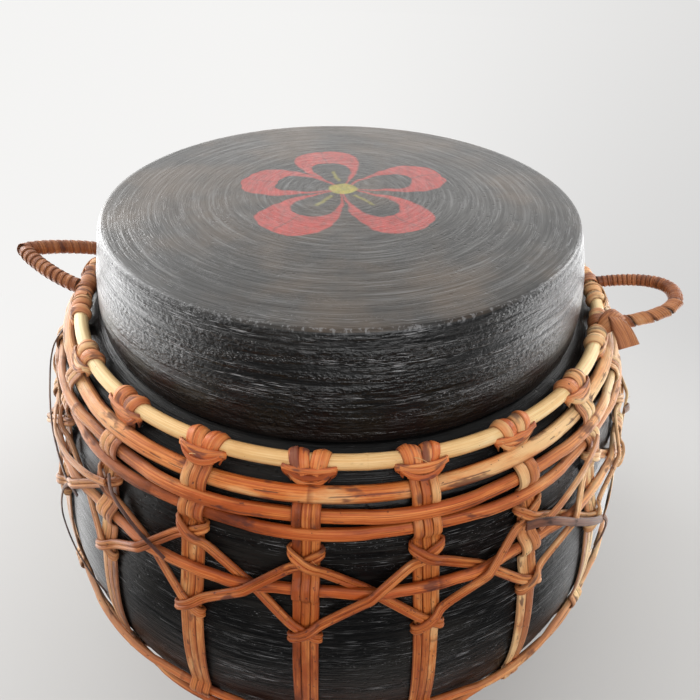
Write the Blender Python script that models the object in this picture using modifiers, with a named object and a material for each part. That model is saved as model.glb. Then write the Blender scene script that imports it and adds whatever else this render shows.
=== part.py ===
"""Black clay jar with a deep flat lid, held in open rattan basketwork.

Metres, +Z up. The origin is the centre of the jar's foot, on the floor, and -Y is the front.
Every piece of the basket is placed on the jar's wall by two lengths: "along", measured down
the outside of the wall from the edge of the lid's seat, and "off", measured straight out of it.
"""
import math

import bmesh
import bpy
from mathutils import Matrix, Vector

# Gaps that keep neighbouring pieces apart
PIECE_GAP = 0.0005
WALL_GAP = 0.0006
SEAT_GAP = 0.0003

# Jar
BODY_HEIGHT = 0.3412
FOOT_RADIUS = 0.140
FOOT_LEAN = math.radians(40)
BELLY_RADIUS = 0.2340
BELLY_HEIGHT = 0.168
SHOULDER_RADIUS = 0.1890
SHOULDER_DROP = 0.0122
SHOULDER_ROUND = 0.012
SHOULDER_FLARE = 1.5
JAR_WALL = 0.010
JAR_FLOOR = 0.012
NECK_HEIGHT = 0.036
NECK_WALL = 0.009
SEAT_LEDGE = 0.001

# Lid
LID_HEIGHT = 0.0585
LID_TOP_RADIUS = 0.150
LID_RIM_RADIUS = 0.1645
LID_WALL = 0.009
LID_EDGE_ROUND = 0.003
LID_CLEARANCE = 0.0035

# Rattan stock
HOOP_THICKNESS = 0.008
RIM_ROD_WIDTHS = (0.0082, 0.0074, 0.0068)
LATTICE_ROD_WIDTH = 0.0064
BELLY_ROD_WIDTH = 0.0068
ROD_FLATNESS = 0.55
CANE_WIDTH = 0.0060
CANE_THICKNESS = 0.0018
STAKE_WIDTH = 0.0130
STAKE_GROOVE = 0.0009

# Basketwork
STAKE_COUNT = 22
FIRST_STAKE = math.radians(-94.5)
HOOP_ALONG = 0.0085
RIM_RODS = (0.0218, 0.0307, 0.0392)
LATTICE_TOP = 0.0520
LATTICE_ROD = 0.0745
LATTICE_FOOT = 0.0985
BELLY_ROD_SPACING = 0.014
FOOT_HOOP_UP = 0.075
LOOP_WIDTH = 0.0175
LOOP_STEP = math.radians(45)
BEND_MARGIN = 0.0005
HOLD_MARGIN = 0.0010
STAKE_REACH = 0.045

# Handles
HANDLE_REACH = 0.046
HANDLE_CORE = 0.0090
HANDLE_WRAP = 0.0008
HANDLE_TURNS = 12
EYE_LENGTH = 0.010
EYE_WALL = 0.0022
EYE_GAP = 0.0007
RIGHT_HANDLE_STAKE = 5
RIGHT_HANDLE_SHIFT = -0.95
RIGHT_HANDLE_RISE = math.radians(19)
RIGHT_HANDLE_SQUARENESS = 2.3
LEFT_HANDLE_STAKE = -5
LEFT_HANDLE_SHIFT = 0.0
LEFT_HANDLE_RISE = math.radians(20)
LEFT_HANDLE_SQUARENESS = 1.3

# Facets
TURN_STEPS = 44
EYE_SIDES = 12

PITCH = 2 * math.pi / STAKE_COUNT
LID_TOP = BODY_HEIGHT + SEAT_GAP + LID_HEIGHT
MERGE = 0.00001


def clear_scene():
    for old in list(bpy.data.objects):
        bpy.data.objects.remove(old, do_unlink=True)


def collection(name):
    made = bpy.data.collections.new(name)
    bpy.context.scene.collection.children.link(made)
    return made


def material(name, colour, roughness):
    made = bpy.data.materials.new(name)
    made.use_nodes = True
    shader = made.node_tree.nodes["Principled BSDF"]
    shader.inputs["Base Color"].default_value = (*colour, 1.0)
    shader.inputs["Roughness"].default_value = roughness
    shader.inputs["Metallic"].default_value = 0.0
    made.diffuse_color = (*colour, 1.0)
    return made


clear_scene()
PARTS = collection("rattan_covered_jar")
GUIDES = collection("guides")


def add_part(name, data, finish):
    """One named piece, in the object's collection, with its own material."""
    part = bpy.data.objects.new(name, data)
    if not data.materials:
        data.materials.append(finish)
    PARTS.objects.link(part)
    return part


# The jar's outline, as (radius, height)

def lid_radius(depth):
    """Outer radius of the lid's side at a depth below its top: a drum that flares downwards."""
    share = math.sin(math.pi / 2 * depth / LID_HEIGHT)
    return LID_TOP_RADIUS + (LID_RIM_RADIUS - LID_TOP_RADIUS) * share


NECK_OUTER = lid_radius(LID_HEIGHT - NECK_HEIGHT) - LID_WALL - LID_CLEARANCE
NECK_INNER = NECK_OUTER - NECK_WALL


def blend(start, start_way, end, end_way, steps):
    """Points of a smooth curve between two places, leaving and arriving in the given ways."""
    pull = (end - start).length
    points = []
    for k in range(1, steps + 1):
        t = k / steps
        leave = (t ** 3 - 2 * t ** 2 + t) * pull * start_way
        arrive = (t ** 3 - t ** 2) * pull * end_way
        ease = 3 * t ** 2 - 2 * t ** 3
        points.append(start * (1 - ease) + end * ease + leave + arrive)
    return points


def wall_line(round_steps, upper_steps, lower_steps):
    """The jar's outer wall from the seat's edge over the shoulder and belly to the foot.

    Below the shoulder it leans out more than a straight line to the belly would, by the
    shoulder's flare, so that it swells outwards whatever the radii are.
    """
    edge = Vector((LID_RIM_RADIUS + SEAT_LEDGE, BODY_HEIGHT))
    corner = Vector((SHOULDER_RADIUS, BODY_HEIGHT - SHOULDER_DROP))
    slope = (corner - edge).normalized()
    lean = SHOULDER_FLARE * math.atan2(BELLY_RADIUS - corner.x, corner.y - BELLY_HEIGHT)
    wall = Vector((math.sin(lean), -math.cos(lean)))
    turn = slope.angle(wall)
    cut = SHOULDER_ROUND * math.tan(turn / 2)
    start = corner - slope * cut
    centre = start + Vector((slope.y, -slope.x)) * SHOULDER_ROUND
    spoke = start - centre
    points = [edge, start]
    for k in range(1, round_steps + 1):
        angle = -turn * k / round_steps
        points.append(centre + Matrix.Rotation(angle, 2) @ spoke)
    down = Vector((0.0, -1.0))
    belly = Vector((BELLY_RADIUS, BELLY_HEIGHT))
    foot = Vector((FOOT_RADIUS, 0.0))
    inward = Vector((-math.sin(FOOT_LEAN), -math.cos(FOOT_LEAN)))
    points += blend(points[-1], wall, belly, down, upper_steps)
    points += blend(belly, down, foot, inward, lower_steps)
    return points


def line_normals(points):
    """Outward normals of a line that runs down the outside."""
    normals = []
    for k in range(len(points)):
        way = points[min(k + 1, len(points) - 1)] - points[max(k - 1, 0)]
        normals.append(Vector((-way.y, way.x)).normalized())
    return normals


FINE_STEPS = (16, 60, 80)
WALL = wall_line(*FINE_STEPS)
WALL_NORMALS = line_normals(WALL)
WALL_LENGTHS = [0.0]
for below, above in zip(WALL[1:], WALL):
    WALL_LENGTHS.append(WALL_LENGTHS[-1] + (below - above).length)
BELLY_ALONG = WALL_LENGTHS[-1 - FINE_STEPS[-1]]
FOOT_HOOP_ALONG = WALL_LENGTHS[-1] - FOOT_HOOP_UP


def on_wall(along, off=0.0):
    """The place at a length along the wall and a distance out of it, and the wall's normal."""
    k = 1
    while k < len(WALL) - 1 and WALL_LENGTHS[k] < along:
        k += 1
    share = (along - WALL_LENGTHS[k - 1]) / (WALL_LENGTHS[k] - WALL_LENGTHS[k - 1])
    normal = WALL_NORMALS[k - 1].lerp(WALL_NORMALS[k], share).normalized()
    return WALL[k - 1].lerp(WALL[k], share) + normal * off, normal


# Jar and lid

def turned(name, profile, finish):
    """A profile turned about Z. It runs down the outer side, and ends on the axis or closes."""
    mesh = bpy.data.meshes.new(name)
    edges = [(k, k + 1) for k in range(len(profile) - 1)]
    mesh.from_pydata([(point[0], 0.0, point[1]) for point in profile], edges, [])
    part = add_part(name, mesh, finish)
    screw = part.modifiers.new("turn", "SCREW")
    screw.steps = TURN_STEPS
    screw.render_steps = TURN_STEPS
    screw.use_merge_vertices = True
    screw.merge_threshold = MERGE
    screw.use_smooth_shade = True
    return part


def make_jar(finish):
    neck_top = BODY_HEIGHT + NECK_HEIGHT
    outer = wall_line(2, 3, 5)
    coarse = wall_line(1, 2, 3)
    inner = []
    for point, normal in zip(coarse, line_normals(coarse)):
        inside = point - normal * JAR_WALL
        if inside.x > NECK_INNER and inside.y > JAR_FLOOR + JAR_WALL:
            inner.insert(0, inside)
    profile = [(0.0, JAR_FLOOR), (FOOT_RADIUS - JAR_WALL, JAR_FLOOR)]
    profile += inner
    profile += [(NECK_INNER, BODY_HEIGHT - JAR_WALL), (NECK_INNER, neck_top)]
    profile += [(NECK_OUTER, neck_top), (NECK_OUTER, BODY_HEIGHT)]
    profile += outer
    profile += [(0.0, 0.0)]
    return turned("jar", profile, finish)


def make_lid(finish):
    rim = BODY_HEIGHT + SEAT_GAP
    profile = [(0.0, LID_TOP)]
    for k in range(3):
        angle = math.pi / 2 * (1 - k / 2)
        out = LID_EDGE_ROUND * (math.cos(angle) - 1)
        drop = LID_EDGE_ROUND * (1 - math.sin(angle))
        profile.append((lid_radius(drop) + out, LID_TOP - drop))
    for k in range(1, 5):
        depth = LID_EDGE_ROUND + (LID_HEIGHT - LID_EDGE_ROUND) * k / 4
        profile.append((lid_radius(depth), LID_TOP - depth))
    profile.append((LID_RIM_RADIUS - LID_WALL, rim))
    for k in (3, 2, 1):
        depth = LID_WALL + (LID_HEIGHT - LID_WALL) * (k - 1) / 3
        profile.append((lid_radius(depth) - LID_WALL, LID_TOP - depth))
    profile.append((0.0, LID_TOP - LID_WALL))
    return turned("lid", profile, finish)


# Rattan: each piece is a section swept along a path

def section(name, corners):
    """The outline of a cane or rod, swept along a path as a guide."""
    data = bpy.data.curves.new(name, "CURVE")
    data.dimensions = "2D"
    data.fill_mode = "NONE"
    spline = data.splines.new("POLY")
    spline.points.add(len(corners) - 1)
    for point, corner in zip(spline.points, corners):
        point.co = (*corner, 0.0, 1.0)
    spline.use_cyclic_u = True
    guide = bpy.data.objects.new(name, data)
    guide.hide_render = True
    guide.display_type = "WIRE"
    GUIDES.objects.link(guide)
    return guide


def rod_section():
    """A rod of unit width, which each path scales to its own."""
    wide, thick = 0.5, ROD_FLATNESS / 2
    corners = [(0, -wide), (-thick, -wide / 2), (-thick, wide / 2)]
    corners += [(0, wide), (thick, wide / 2), (thick, -wide / 2)]
    return section("rod_section", corners)


def cane_section():
    wide, thick = CANE_WIDTH / 2, CANE_THICKNESS / 2
    return section("cane_section", [(-thick, -wide), (-thick, wide), (thick, wide), (thick, -wide)])


def stake_section():
    """Two canes side by side, flat towards the jar, with a groove between them outside."""
    wide, thick = STAKE_WIDTH / 2, CANE_THICKNESS / 2
    corners = [(-wide, thick), (wide, thick), (wide / 2, -thick)]
    corners += [(0, STAKE_GROOVE - thick), (-wide / 2, -thick)]
    return section("stake_section", corners)


def swept(name, path, cyclic, twist):
    """A path of straight stretches, each point (place, scale of the section, tilt)."""
    data = bpy.data.curves.new(name, "CURVE")
    data.dimensions = "3D"
    data.twist_mode = twist
    spline = data.splines.new("POLY")
    spline.points.add(len(path) - 1)
    for point, (place, scale, tilt) in zip(spline.points, path):
        point.co = (*place, 1.0)
        point.radius = scale
        point.tilt = tilt
    spline.use_cyclic_u = cyclic
    return data


def shaped(data, guide):
    data.bevel_mode = "OBJECT"
    data.bevel_object = guide
    data.use_fill_caps = True
    return data


def ring_place(angle, along, off, scale=1.0):
    """A point of a ring round the jar, with its section tilted to lie along the wall."""
    (radius, height), normal = on_wall(along, off)
    place = Vector((radius * math.cos(angle), radius * math.sin(angle), height))
    return place, scale, -math.asin(normal.y)


def stake_angle(k):
    return FIRST_STAKE + k * PITCH


def beside(along, half_width):
    """Half the angle that a piece of this half width takes up on the wall."""
    return half_width / on_wall(along)[0].x


CANE_HOLD = STAKE_WIDTH / 2 + HOLD_MARGIN
ROD_HOLD = LOOP_WIDTH / 2 + HOLD_MARGIN
STAKE_UNDER = WALL_GAP + CANE_THICKNESS / 2
CANE_OVER = WALL_GAP + CANE_THICKNESS + PIECE_GAP + CANE_THICKNESS / 2
LATTICE_ROD_THICKNESS = LATTICE_ROD_WIDTH * ROD_FLATNESS
LATTICE_ROD_OFF = WALL_GAP + CANE_THICKNESS + 2 * PIECE_GAP + LATTICE_ROD_THICKNESS / 2
LATTICE_OVER = LATTICE_ROD_OFF + LATTICE_ROD_THICKNESS / 2 + 2 * PIECE_GAP + CANE_THICKNESS / 2
BELLY_RODS = (BELLY_ALONG - BELLY_ROD_SPACING / 2, BELLY_ALONG + BELLY_ROD_SPACING / 2)
RODS = (*RIM_RODS, LATTICE_ROD, *BELLY_RODS)
ROD_WIDTHS = (*RIM_ROD_WIDTHS, LATTICE_ROD_WIDTH, *(BELLY_ROD_WIDTH for _ in BELLY_RODS))


def rod_in_front(rod, stake):
    """Plain weave: each rod passes outside every other stake, and the next rod the others."""
    return (rod + stake) % 2 == 0


def rod_off(rod, stake):
    """How far a rod's middle stands off the wall where it crosses a stake."""
    inside = WALL_GAP + CANE_THICKNESS + PIECE_GAP if rod_in_front(rod, stake) else WALL_GAP
    return inside + ROD_WIDTHS[rod] * ROD_FLATNESS / 2


def stake_off(rod, stake):
    """How far a stake's middle stands off the wall where it crosses a rod."""
    if rod_in_front(rod, stake):
        return STAKE_UNDER
    return STAKE_UNDER + ROD_WIDTHS[rod] * ROD_FLATNESS + PIECE_GAP


def make_rod(name, rod, guide, finish):
    along, width = RODS[rod], ROD_WIDTHS[rod]
    hold = beside(along, ROD_HOLD)
    crosses_lattice = along == LATTICE_ROD
    path = []
    for k in range(STAKE_COUNT):
        off = rod_off(rod, k)
        path.append(ring_place(stake_angle(k) - hold, along, off, width))
        path.append(ring_place(stake_angle(k) + hold, along, off, width))
        if crosses_lattice:
            for side in (-1, 1):
                crossing = stake_angle(k) + PITCH / 2 + side * beside(along, CANE_WIDTH)
                path.append(ring_place(crossing, along, LATTICE_ROD_OFF, width))
    return add_part(name, shaped(swept(name, path, True, "Z_UP"), guide), finish)


def make_lattice_cane(name, phase, guide, finish):
    """A flat cane that zigzags round the jar, high on one stake and low on the next.

    Halfway between it crosses the other lattice cane at the lattice rod, inside it and outside
    it by turns.
    """
    path = []
    for k in range(STAKE_COUNT):
        high = (k + phase) % 2 == 0
        along = LATTICE_TOP if high else LATTICE_FOOT
        hold = beside(along, CANE_HOLD)
        path.append(ring_place(stake_angle(k) - hold, along, CANE_OVER))
        path.append(ring_place(stake_angle(k) + hold, along, CANE_OVER))
        crossing = stake_angle(k) + PITCH / 2
        if high:
            path.append(ring_place(crossing, LATTICE_ROD, STAKE_UNDER))
        else:
            for side in (-1, 1):
                reach = side * beside(LATTICE_ROD, CANE_WIDTH / 2)
                rise = -side * CANE_WIDTH / 2
                path.append(ring_place(crossing + reach, LATTICE_ROD + rise, LATTICE_OVER))
    return add_part(name, shaped(swept(name, path, True, "Z_UP"), guide), finish)


# Rim and foot hoops, and the eyes of the handles that turn on the rim

HOOP_RADIUS = HOOP_THICKNESS / 2
EYE_PLAY = EYE_LENGTH / 2 * math.tan(PITCH / 2) + EYE_GAP
EYE_INNER = (HOOP_RADIUS + EYE_PLAY) / math.cos(math.pi / EYE_SIDES)
EYE_OUTER = EYE_INNER + EYE_WALL
HOOP_OFF = WALL_GAP + EYE_OUTER
LOOP_SCALE = LOOP_WIDTH / STAKE_WIDTH
LOOP_OFF = HOOP_RADIUS + PIECE_GAP + CANE_THICKNESS / 2 * LOOP_SCALE
LOOP_RADIUS = LOOP_OFF / math.cos(LOOP_STEP / 2)
FOOT_HOOP_OFF = WALL_GAP + CANE_THICKNESS * LOOP_SCALE + PIECE_GAP + LOOP_RADIUS


def make_hoop(name, along, off, midpoints, finish):
    """A round hoop that runs straight through each stake's loop."""
    hold = beside(along, ROD_HOLD)
    path = []
    for k in range(STAKE_COUNT):
        path.append(ring_place(stake_angle(k) - hold, along, off))
        path.append(ring_place(stake_angle(k) + hold, along, off))
        if midpoints:
            path.append(ring_place(stake_angle(k) + PITCH / 2, along, off))
    data = swept(name, path, True, "Z_UP")
    data.bevel_depth = HOOP_RADIUS
    data.bevel_resolution = 1
    return add_part(name, data, finish)


def hoop_loop(along, off, first, last):
    """Points round a hoop in the stake's plane, from one angle to another, 0 being downhill."""
    centre, normal = on_wall(along, off)
    downhill = Vector((normal.y, -normal.x))
    steps = round(abs(last - first) / LOOP_STEP)
    points = []
    for k in range(steps + 1):
        angle = first + (last - first) * k / steps
        way = downhill * math.cos(angle) + normal * math.sin(angle)
        points.append((centre + way * LOOP_RADIUS, LOOP_SCALE))
    return points


def stake_path(parity):
    """From behind the rim hoop, over it, down the jar and round the foot hoop."""
    path = hoop_loop(HOOP_ALONG, HOOP_OFF, math.radians(225), 0.0)
    rim = []
    for rod in range(len(RIM_RODS)):
        rim += held_by_rod(rod, parity)
    collar = HOOP_ALONG + LOOP_RADIUS + PIECE_GAP
    collar_off = (HOOP_OFF + stake_off(0, parity)) / 2
    path.append((on_wall(collar, collar_off)[0], LOOP_SCALE))
    path.append(((on_wall(collar, collar_off)[0] + rim[0][0]) / 2, 1.0))
    path += rim
    path += held(LATTICE_TOP, CANE_WIDTH / 2 + BEND_MARGIN, STAKE_UNDER)
    path += held_by_rod(len(RIM_RODS), parity)
    path += held(LATTICE_FOOT, CANE_WIDTH / 2 + BEND_MARGIN, STAKE_UNDER)
    path += free_stretch(LATTICE_FOOT, BELLY_RODS[0])
    for rod in range(len(RIM_RODS) + 1, len(RODS)):
        path += held_by_rod(rod, parity)
    path += free_stretch(BELLY_RODS[-1], FOOT_HOOP_ALONG - LOOP_RADIUS)
    path += hoop_loop(FOOT_HOOP_ALONG, FOOT_HOOP_OFF, math.radians(125), math.radians(-10))
    return path


def held(along, reach, off):
    """The two bends of a stake at a piece that crosses it."""
    return [(on_wall(along + side * reach, off)[0], 1.0) for side in (-1, 1)]


def held_by_rod(rod, stake):
    return held(RODS[rod], ROD_WIDTHS[rod] / 4 + BEND_MARGIN, stake_off(rod, stake))


def free_stretch(start, end):
    """Points between two crossings, close enough together to follow the jar's curve."""
    parts = math.ceil((end - start) / STAKE_REACH)
    points = []
    for k in range(1, parts):
        off = WALL_GAP + CANE_THICKNESS / 2 + STAKE_REACH ** 2 / (8 * BELLY_HEIGHT)
        points.append((on_wall(start + (end - start) * k / parts, off)[0], 1.0))
    return points


def make_stakes(guide, finish):
    """Each stake is a pair of flat canes; neighbours pass the rods on opposite sides."""
    shapes = []
    for parity in (0, 1):
        path = [(Vector((place.x, 0.0, place.y)), scale, 0.0) for place, scale in stake_path(parity)]
        shapes.append(shaped(swept("stake_shape", path, False, "MINIMUM"), guide))
    for k in range(STAKE_COUNT):
        stake = add_part(f"stake_{k + 1:02d}", shapes[k % 2], finish)
        stake.rotation_euler.z = stake_angle(k)


# Handles

def handle_frame(middle, rise):
    """Axes of a handle: along its hinge, outwards in its plane, and square to both."""
    (radius, height), _ = on_wall(HOOP_ALONG, HOOP_OFF)
    outward = Vector((math.cos(middle), math.sin(middle), 0.0))
    hinge = Vector((-math.sin(middle), math.cos(middle), 0.0))
    reach = outward * math.cos(rise) + Vector((0, 0, math.sin(rise)))
    centre = outward * radius * math.cos(PITCH / 2) + Vector((0, 0, height))
    half_span = radius * math.sin(PITCH / 2)
    frame = Matrix((hinge, reach, hinge.cross(reach))).transposed().to_4x4()
    frame.translation = centre
    return frame, half_span


def handle_path(half_span, squareness):
    """Half a superellipse, from one eye's wall to the other's, thick and thin by turns."""
    start = EYE_INNER + EYE_WALL / 2
    count = 2 * HANDLE_TURNS
    power = 2 / squareness
    path = []
    for k in range(count + 1):
        angle = math.pi * k / count
        across = math.copysign(abs(math.cos(angle)) ** power, math.cos(angle)) * half_span
        out = start + abs(math.sin(angle)) ** power * (HANDLE_REACH - start)
        radius = HANDLE_CORE / 2 + (HANDLE_WRAP if k % 2 else 0.0)
        path.append((Vector((across, out, 0.0)), radius, 0.0))
    return path


def solid_of(curve_object):
    """A plain closed mesh of a curve, with its caps welded on."""
    graph = bpy.context.evaluated_depsgraph_get()
    mesh = bpy.data.meshes.new_from_object(curve_object.evaluated_get(graph))
    shell = bmesh.new()
    shell.from_mesh(mesh)
    bmesh.ops.remove_doubles(shell, verts=shell.verts, dist=MERGE)
    shell.to_mesh(mesh)
    shell.free()
    bpy.data.objects.remove(curve_object, do_unlink=True)
    return mesh


def eye_ring(name, across):
    """The wound eye that turns on the rim hoop, its axis along the hinge."""
    half, nose = EYE_LENGTH / 2, EYE_WALL / 2
    rim = [(EYE_INNER, half), (EYE_OUTER - nose, half), (EYE_OUTER, half - nose)]
    rim += [(EYE_OUTER, nose - half), (EYE_OUTER - nose, -half), (EYE_INNER, -half)]
    mesh = bpy.data.meshes.new(name)
    edges = [(k, (k + 1) % len(rim)) for k in range(len(rim))]
    mesh.from_pydata([(radius, 0.0, height) for radius, height in rim], edges, [])
    ring = bpy.data.objects.new(name, mesh)
    ring.hide_render = True
    ring.display_type = "WIRE"
    GUIDES.objects.link(ring)
    screw = ring.modifiers.new("turn", "SCREW")
    screw.steps = EYE_SIDES
    screw.render_steps = EYE_SIDES
    screw.use_merge_vertices = True
    screw.merge_threshold = MERGE
    ring.matrix_world = Matrix.Translation((across, 0, 0)) @ Matrix.Rotation(math.pi / 2, 4, "Y")
    return ring


def make_handle(name, stake, shift, rise, squareness, finish):
    """A wrapped rattan loop that straddles one stake and turns on the rim hoop."""
    hoop_radius = on_wall(HOOP_ALONG, HOOP_OFF)[0].x
    room = PITCH / 2 - (LOOP_WIDTH / 2 + EYE_LENGTH / 2 + 2 * HOLD_MARGIN) / hoop_radius
    middle = stake_angle(stake) + shift * room
    frame, half_span = handle_frame(middle, rise)
    data = swept(name + "_loop", handle_path(half_span, squareness), False, "MINIMUM")
    data.bevel_depth = 1.0
    data.bevel_resolution = 1
    data.use_fill_caps = True
    loop = bpy.data.objects.new(name + "_loop", data)
    GUIDES.objects.link(loop)
    handle = add_part(name, solid_of(loop), finish)
    handle.matrix_world = frame
    for side in (-1, 1):
        ring = eye_ring(f"{name}_eye", side * half_span)
        ring.matrix_world = frame @ ring.matrix_world
        union = handle.modifiers.new("eye", "BOOLEAN")
        union.operation = "UNION"
        union.solver = "EXACT"
        union.object = ring
    return handle


def build():
    clay = (0.030, 0.030, 0.032)
    make_jar(material("jar_clay", clay, 0.6))
    make_lid(material("lid_clay", clay, 0.5))
    pale_rattan = material("pale_rattan", (0.72, 0.50, 0.26), 0.5)
    brown_rattan = material("brown_rattan", (0.47, 0.20, 0.075), 0.5)
    make_hoop("rim_hoop", HOOP_ALONG, HOOP_OFF, True, pale_rattan)
    make_hoop("foot_hoop", FOOT_HOOP_ALONG, FOOT_HOOP_OFF, False, pale_rattan)
    rod_guide = rod_section()
    names = ("rim_rod_1", "rim_rod_2", "rim_rod_3", "lattice_rod", "belly_rod_1", "belly_rod_2")
    for rod, name in enumerate(names):
        make_rod(name, rod, rod_guide, brown_rattan)
    cane_guide = cane_section()
    make_lattice_cane("lattice_cane_1", 0, cane_guide, brown_rattan)
    make_lattice_cane("lattice_cane_2", 1, cane_guide, brown_rattan)
    make_stakes(stake_section(), brown_rattan)
    wrap = material("handle_wrap", (0.42, 0.17, 0.065), 0.55)
    make_handle("handle_right", RIGHT_HANDLE_STAKE, RIGHT_HANDLE_SHIFT, RIGHT_HANDLE_RISE,
                RIGHT_HANDLE_SQUARENESS, wrap)
    make_handle("handle_left", LEFT_HANDLE_STAKE, LEFT_HANDLE_SHIFT, LEFT_HANDLE_RISE,
                LEFT_HANDLE_SQUARENESS, wrap)


build()
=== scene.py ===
# %% [markdown]
# # A black clay jar held in rattan basketwork
#
# The real object is a storage jar of dark fired clay with a deep, flat lid. A basket is woven
# round the jar itself, so the jar can never leave it: stakes of split rattan loop over a pale
# rim hoop, rods run round them in plain weave, and a flat cane is knotted from stake to stake.
#
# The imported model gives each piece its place. This lesson gives each piece its surface. Most of
# the basket is swept by one Geometry Nodes tree, because every cane is the same thing: an
# outline that follows a path on the jar's wall and keeps its back to the wall.

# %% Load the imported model
import math

import bmesh
import bpy
import numpy as np
from mathutils import Matrix, Vector


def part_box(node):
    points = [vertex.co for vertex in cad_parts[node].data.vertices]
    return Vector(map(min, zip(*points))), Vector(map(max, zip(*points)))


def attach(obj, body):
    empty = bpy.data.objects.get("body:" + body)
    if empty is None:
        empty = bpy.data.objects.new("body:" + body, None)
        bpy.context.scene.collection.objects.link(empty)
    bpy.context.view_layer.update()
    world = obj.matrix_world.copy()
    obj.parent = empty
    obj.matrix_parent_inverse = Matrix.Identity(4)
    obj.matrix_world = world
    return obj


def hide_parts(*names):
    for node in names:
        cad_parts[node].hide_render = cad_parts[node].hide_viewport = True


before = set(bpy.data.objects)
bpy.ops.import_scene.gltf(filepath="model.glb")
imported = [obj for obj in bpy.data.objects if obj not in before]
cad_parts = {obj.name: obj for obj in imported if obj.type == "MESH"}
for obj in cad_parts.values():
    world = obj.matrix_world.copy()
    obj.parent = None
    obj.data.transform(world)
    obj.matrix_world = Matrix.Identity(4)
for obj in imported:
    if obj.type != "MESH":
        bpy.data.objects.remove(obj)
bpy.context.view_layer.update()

MM = 0.001


def add_object(name, data):
    made = bpy.data.objects.new(name, data)
    bpy.context.scene.collection.objects.link(made)
    return made


# %% [markdown]
# ## The camera
#
# The picture was taken close to the lid with a wide lens, from above the front. A long lens
# would flatten the lid's ellipse and hide how much nearer the front stakes are than the back of
# the hoop, so the camera is set up first, with the lens, height and tilt that the outlines of
# the lid and the hoop ask for.

# %% Place the camera
LENS = 24.0
SENSOR = 36.0
CAMERA_FRONT = -304.7 * MM
CAMERA_HEIGHT = 522.1 * MM
CAMERA_TILT = math.radians(40.70)
CAMERA_PAN = math.radians(-1.347)
CAMERA_ROLL = math.radians(1.385)


def place_camera():
    data = bpy.data.cameras.new("camera")
    data.lens = LENS
    data.sensor_width = SENSOR
    data.clip_start = 10 * MM
    camera = add_object("camera", data)
    pan = Matrix.Rotation(CAMERA_PAN, 4, "Z")
    tilt = Matrix.Rotation(math.pi / 2 - CAMERA_TILT, 4, "X")
    roll = Matrix.Rotation(CAMERA_ROLL, 4, "Z")
    place = Matrix.Translation((0, CAMERA_FRONT, CAMERA_HEIGHT))
    camera.matrix_world = place @ pan @ tilt @ roll
    bpy.context.scene.camera = camera
    return camera


camera = place_camera()
print("camera at", [round(v, 3) for v in camera.matrix_world.translation])

# %% [markdown]
# ## Curves and lengths
#
# Nothing on the jar is straight, and hardly anything is known by a formula. What is known are a
# few places and the ways a curve passes them, as a potter judges a profile. Two small functions
# draw such runs, one between two places and one round a corner. The others measure along a line
# and read it at any length, which serves the outline now and the handles later.

# %% Curves and lengths
def swing(start, start_way, end, end_way, steps):
    """Points of a smooth curve that leaves one place and arrives at another in given ways."""
    pull = np.linalg.norm(end - start)
    t = np.linspace(0, 1, steps + 1)[1:, None]
    ease = 3 * t ** 2 - 2 * t ** 3
    leave = (t ** 3 - 2 * t ** 2 + t) * pull * start_way
    arrive = (t ** 3 - t ** 2) * pull * end_way
    return start * (1 - ease) + end * ease + leave + arrive


def round_corner(before, corner, after, radius, steps):
    """Points of an arc that rounds a corner between two straight runs."""
    into = (corner - before) / np.linalg.norm(corner - before)
    out = (after - corner) / np.linalg.norm(after - corner)
    half = math.acos(float(into @ out)) / 2
    start = corner - into * radius * math.tan(half)
    end = corner + out * radius * math.tan(half)
    t = np.linspace(0, 1, steps + 1)[:, None]
    return start * (1 - t) ** 2 + 2 * corner * t * (1 - t) + end * t ** 2


def unit(vectors):
    """The same directions, each with a length of 1."""
    return vectors / np.linalg.norm(vectors, axis=1)[:, None]


def outline_normals(outline):
    """The outward direction at each point of an outline that runs down the outside."""
    way = np.gradient(outline, axis=0)
    return unit(np.stack([-way[:, 1], way[:, 0]], axis=1))


def lengths_along(points):
    """How far along a line of points each of them lies."""
    steps = np.linalg.norm(np.diff(points, axis=0), axis=1)
    return np.concatenate([[0], np.cumsum(steps)])


def read_line(spots, lengths, line):
    """The places at some lengths along a line, or what else is known along it."""
    return np.stack([np.interp(spots, lengths, column) for column in line.T], axis=1)


print("the places (0, 0), (3, 4) and (3, 5) lie at", lengths_along([(0, 0), (3, 4), (3, 5)]))

# %% [markdown]
# ## The jar's outline
#
# Everything in the basket is tied to the jar's wall, so the wall comes before the weave. It is
# an outline of radius and height: down the slope of the seat, round the shoulder, out to the
# belly and in to the foot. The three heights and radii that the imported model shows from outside
# are read from it, and the rest are the potter's own sizes.

# %% The outline of the jar and the lid
SEAT_GAP = 0.3 * MM
SEAT_LEDGE = 1.0 * MM
SEAT_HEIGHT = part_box("lid")[0].z - SEAT_GAP
LID_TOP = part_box("lid")[1].z
LID_HEIGHT = LID_TOP - SEAT_HEIGHT - SEAT_GAP
LID_TOP_RADIUS = 150 * MM
LID_RIM_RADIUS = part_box("lid")[1].x
LID_WALL = 9 * MM
LID_EDGE_ROUND = 1.8 * MM
LID_CLEARANCE = 3.5 * MM
BELLY_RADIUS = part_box("jar")[1].x
BELLY_HEIGHT = 168 * MM
SHOULDER_RADIUS = 189 * MM
SHOULDER_DROP = 12.2 * MM
SHOULDER_ROUND = 12 * MM
SHOULDER_FLARE = 1.5
FOOT_RADIUS = 140 * MM
FOOT_LEAN = math.radians(40)
FOOT_ROUND = 4 * MM
JAR_WALL = 10 * MM
NECK_HEIGHT = 36 * MM
NECK_WALL = 9 * MM
UPPER_STEPS = 60
LOWER_STEPS = 80


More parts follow.
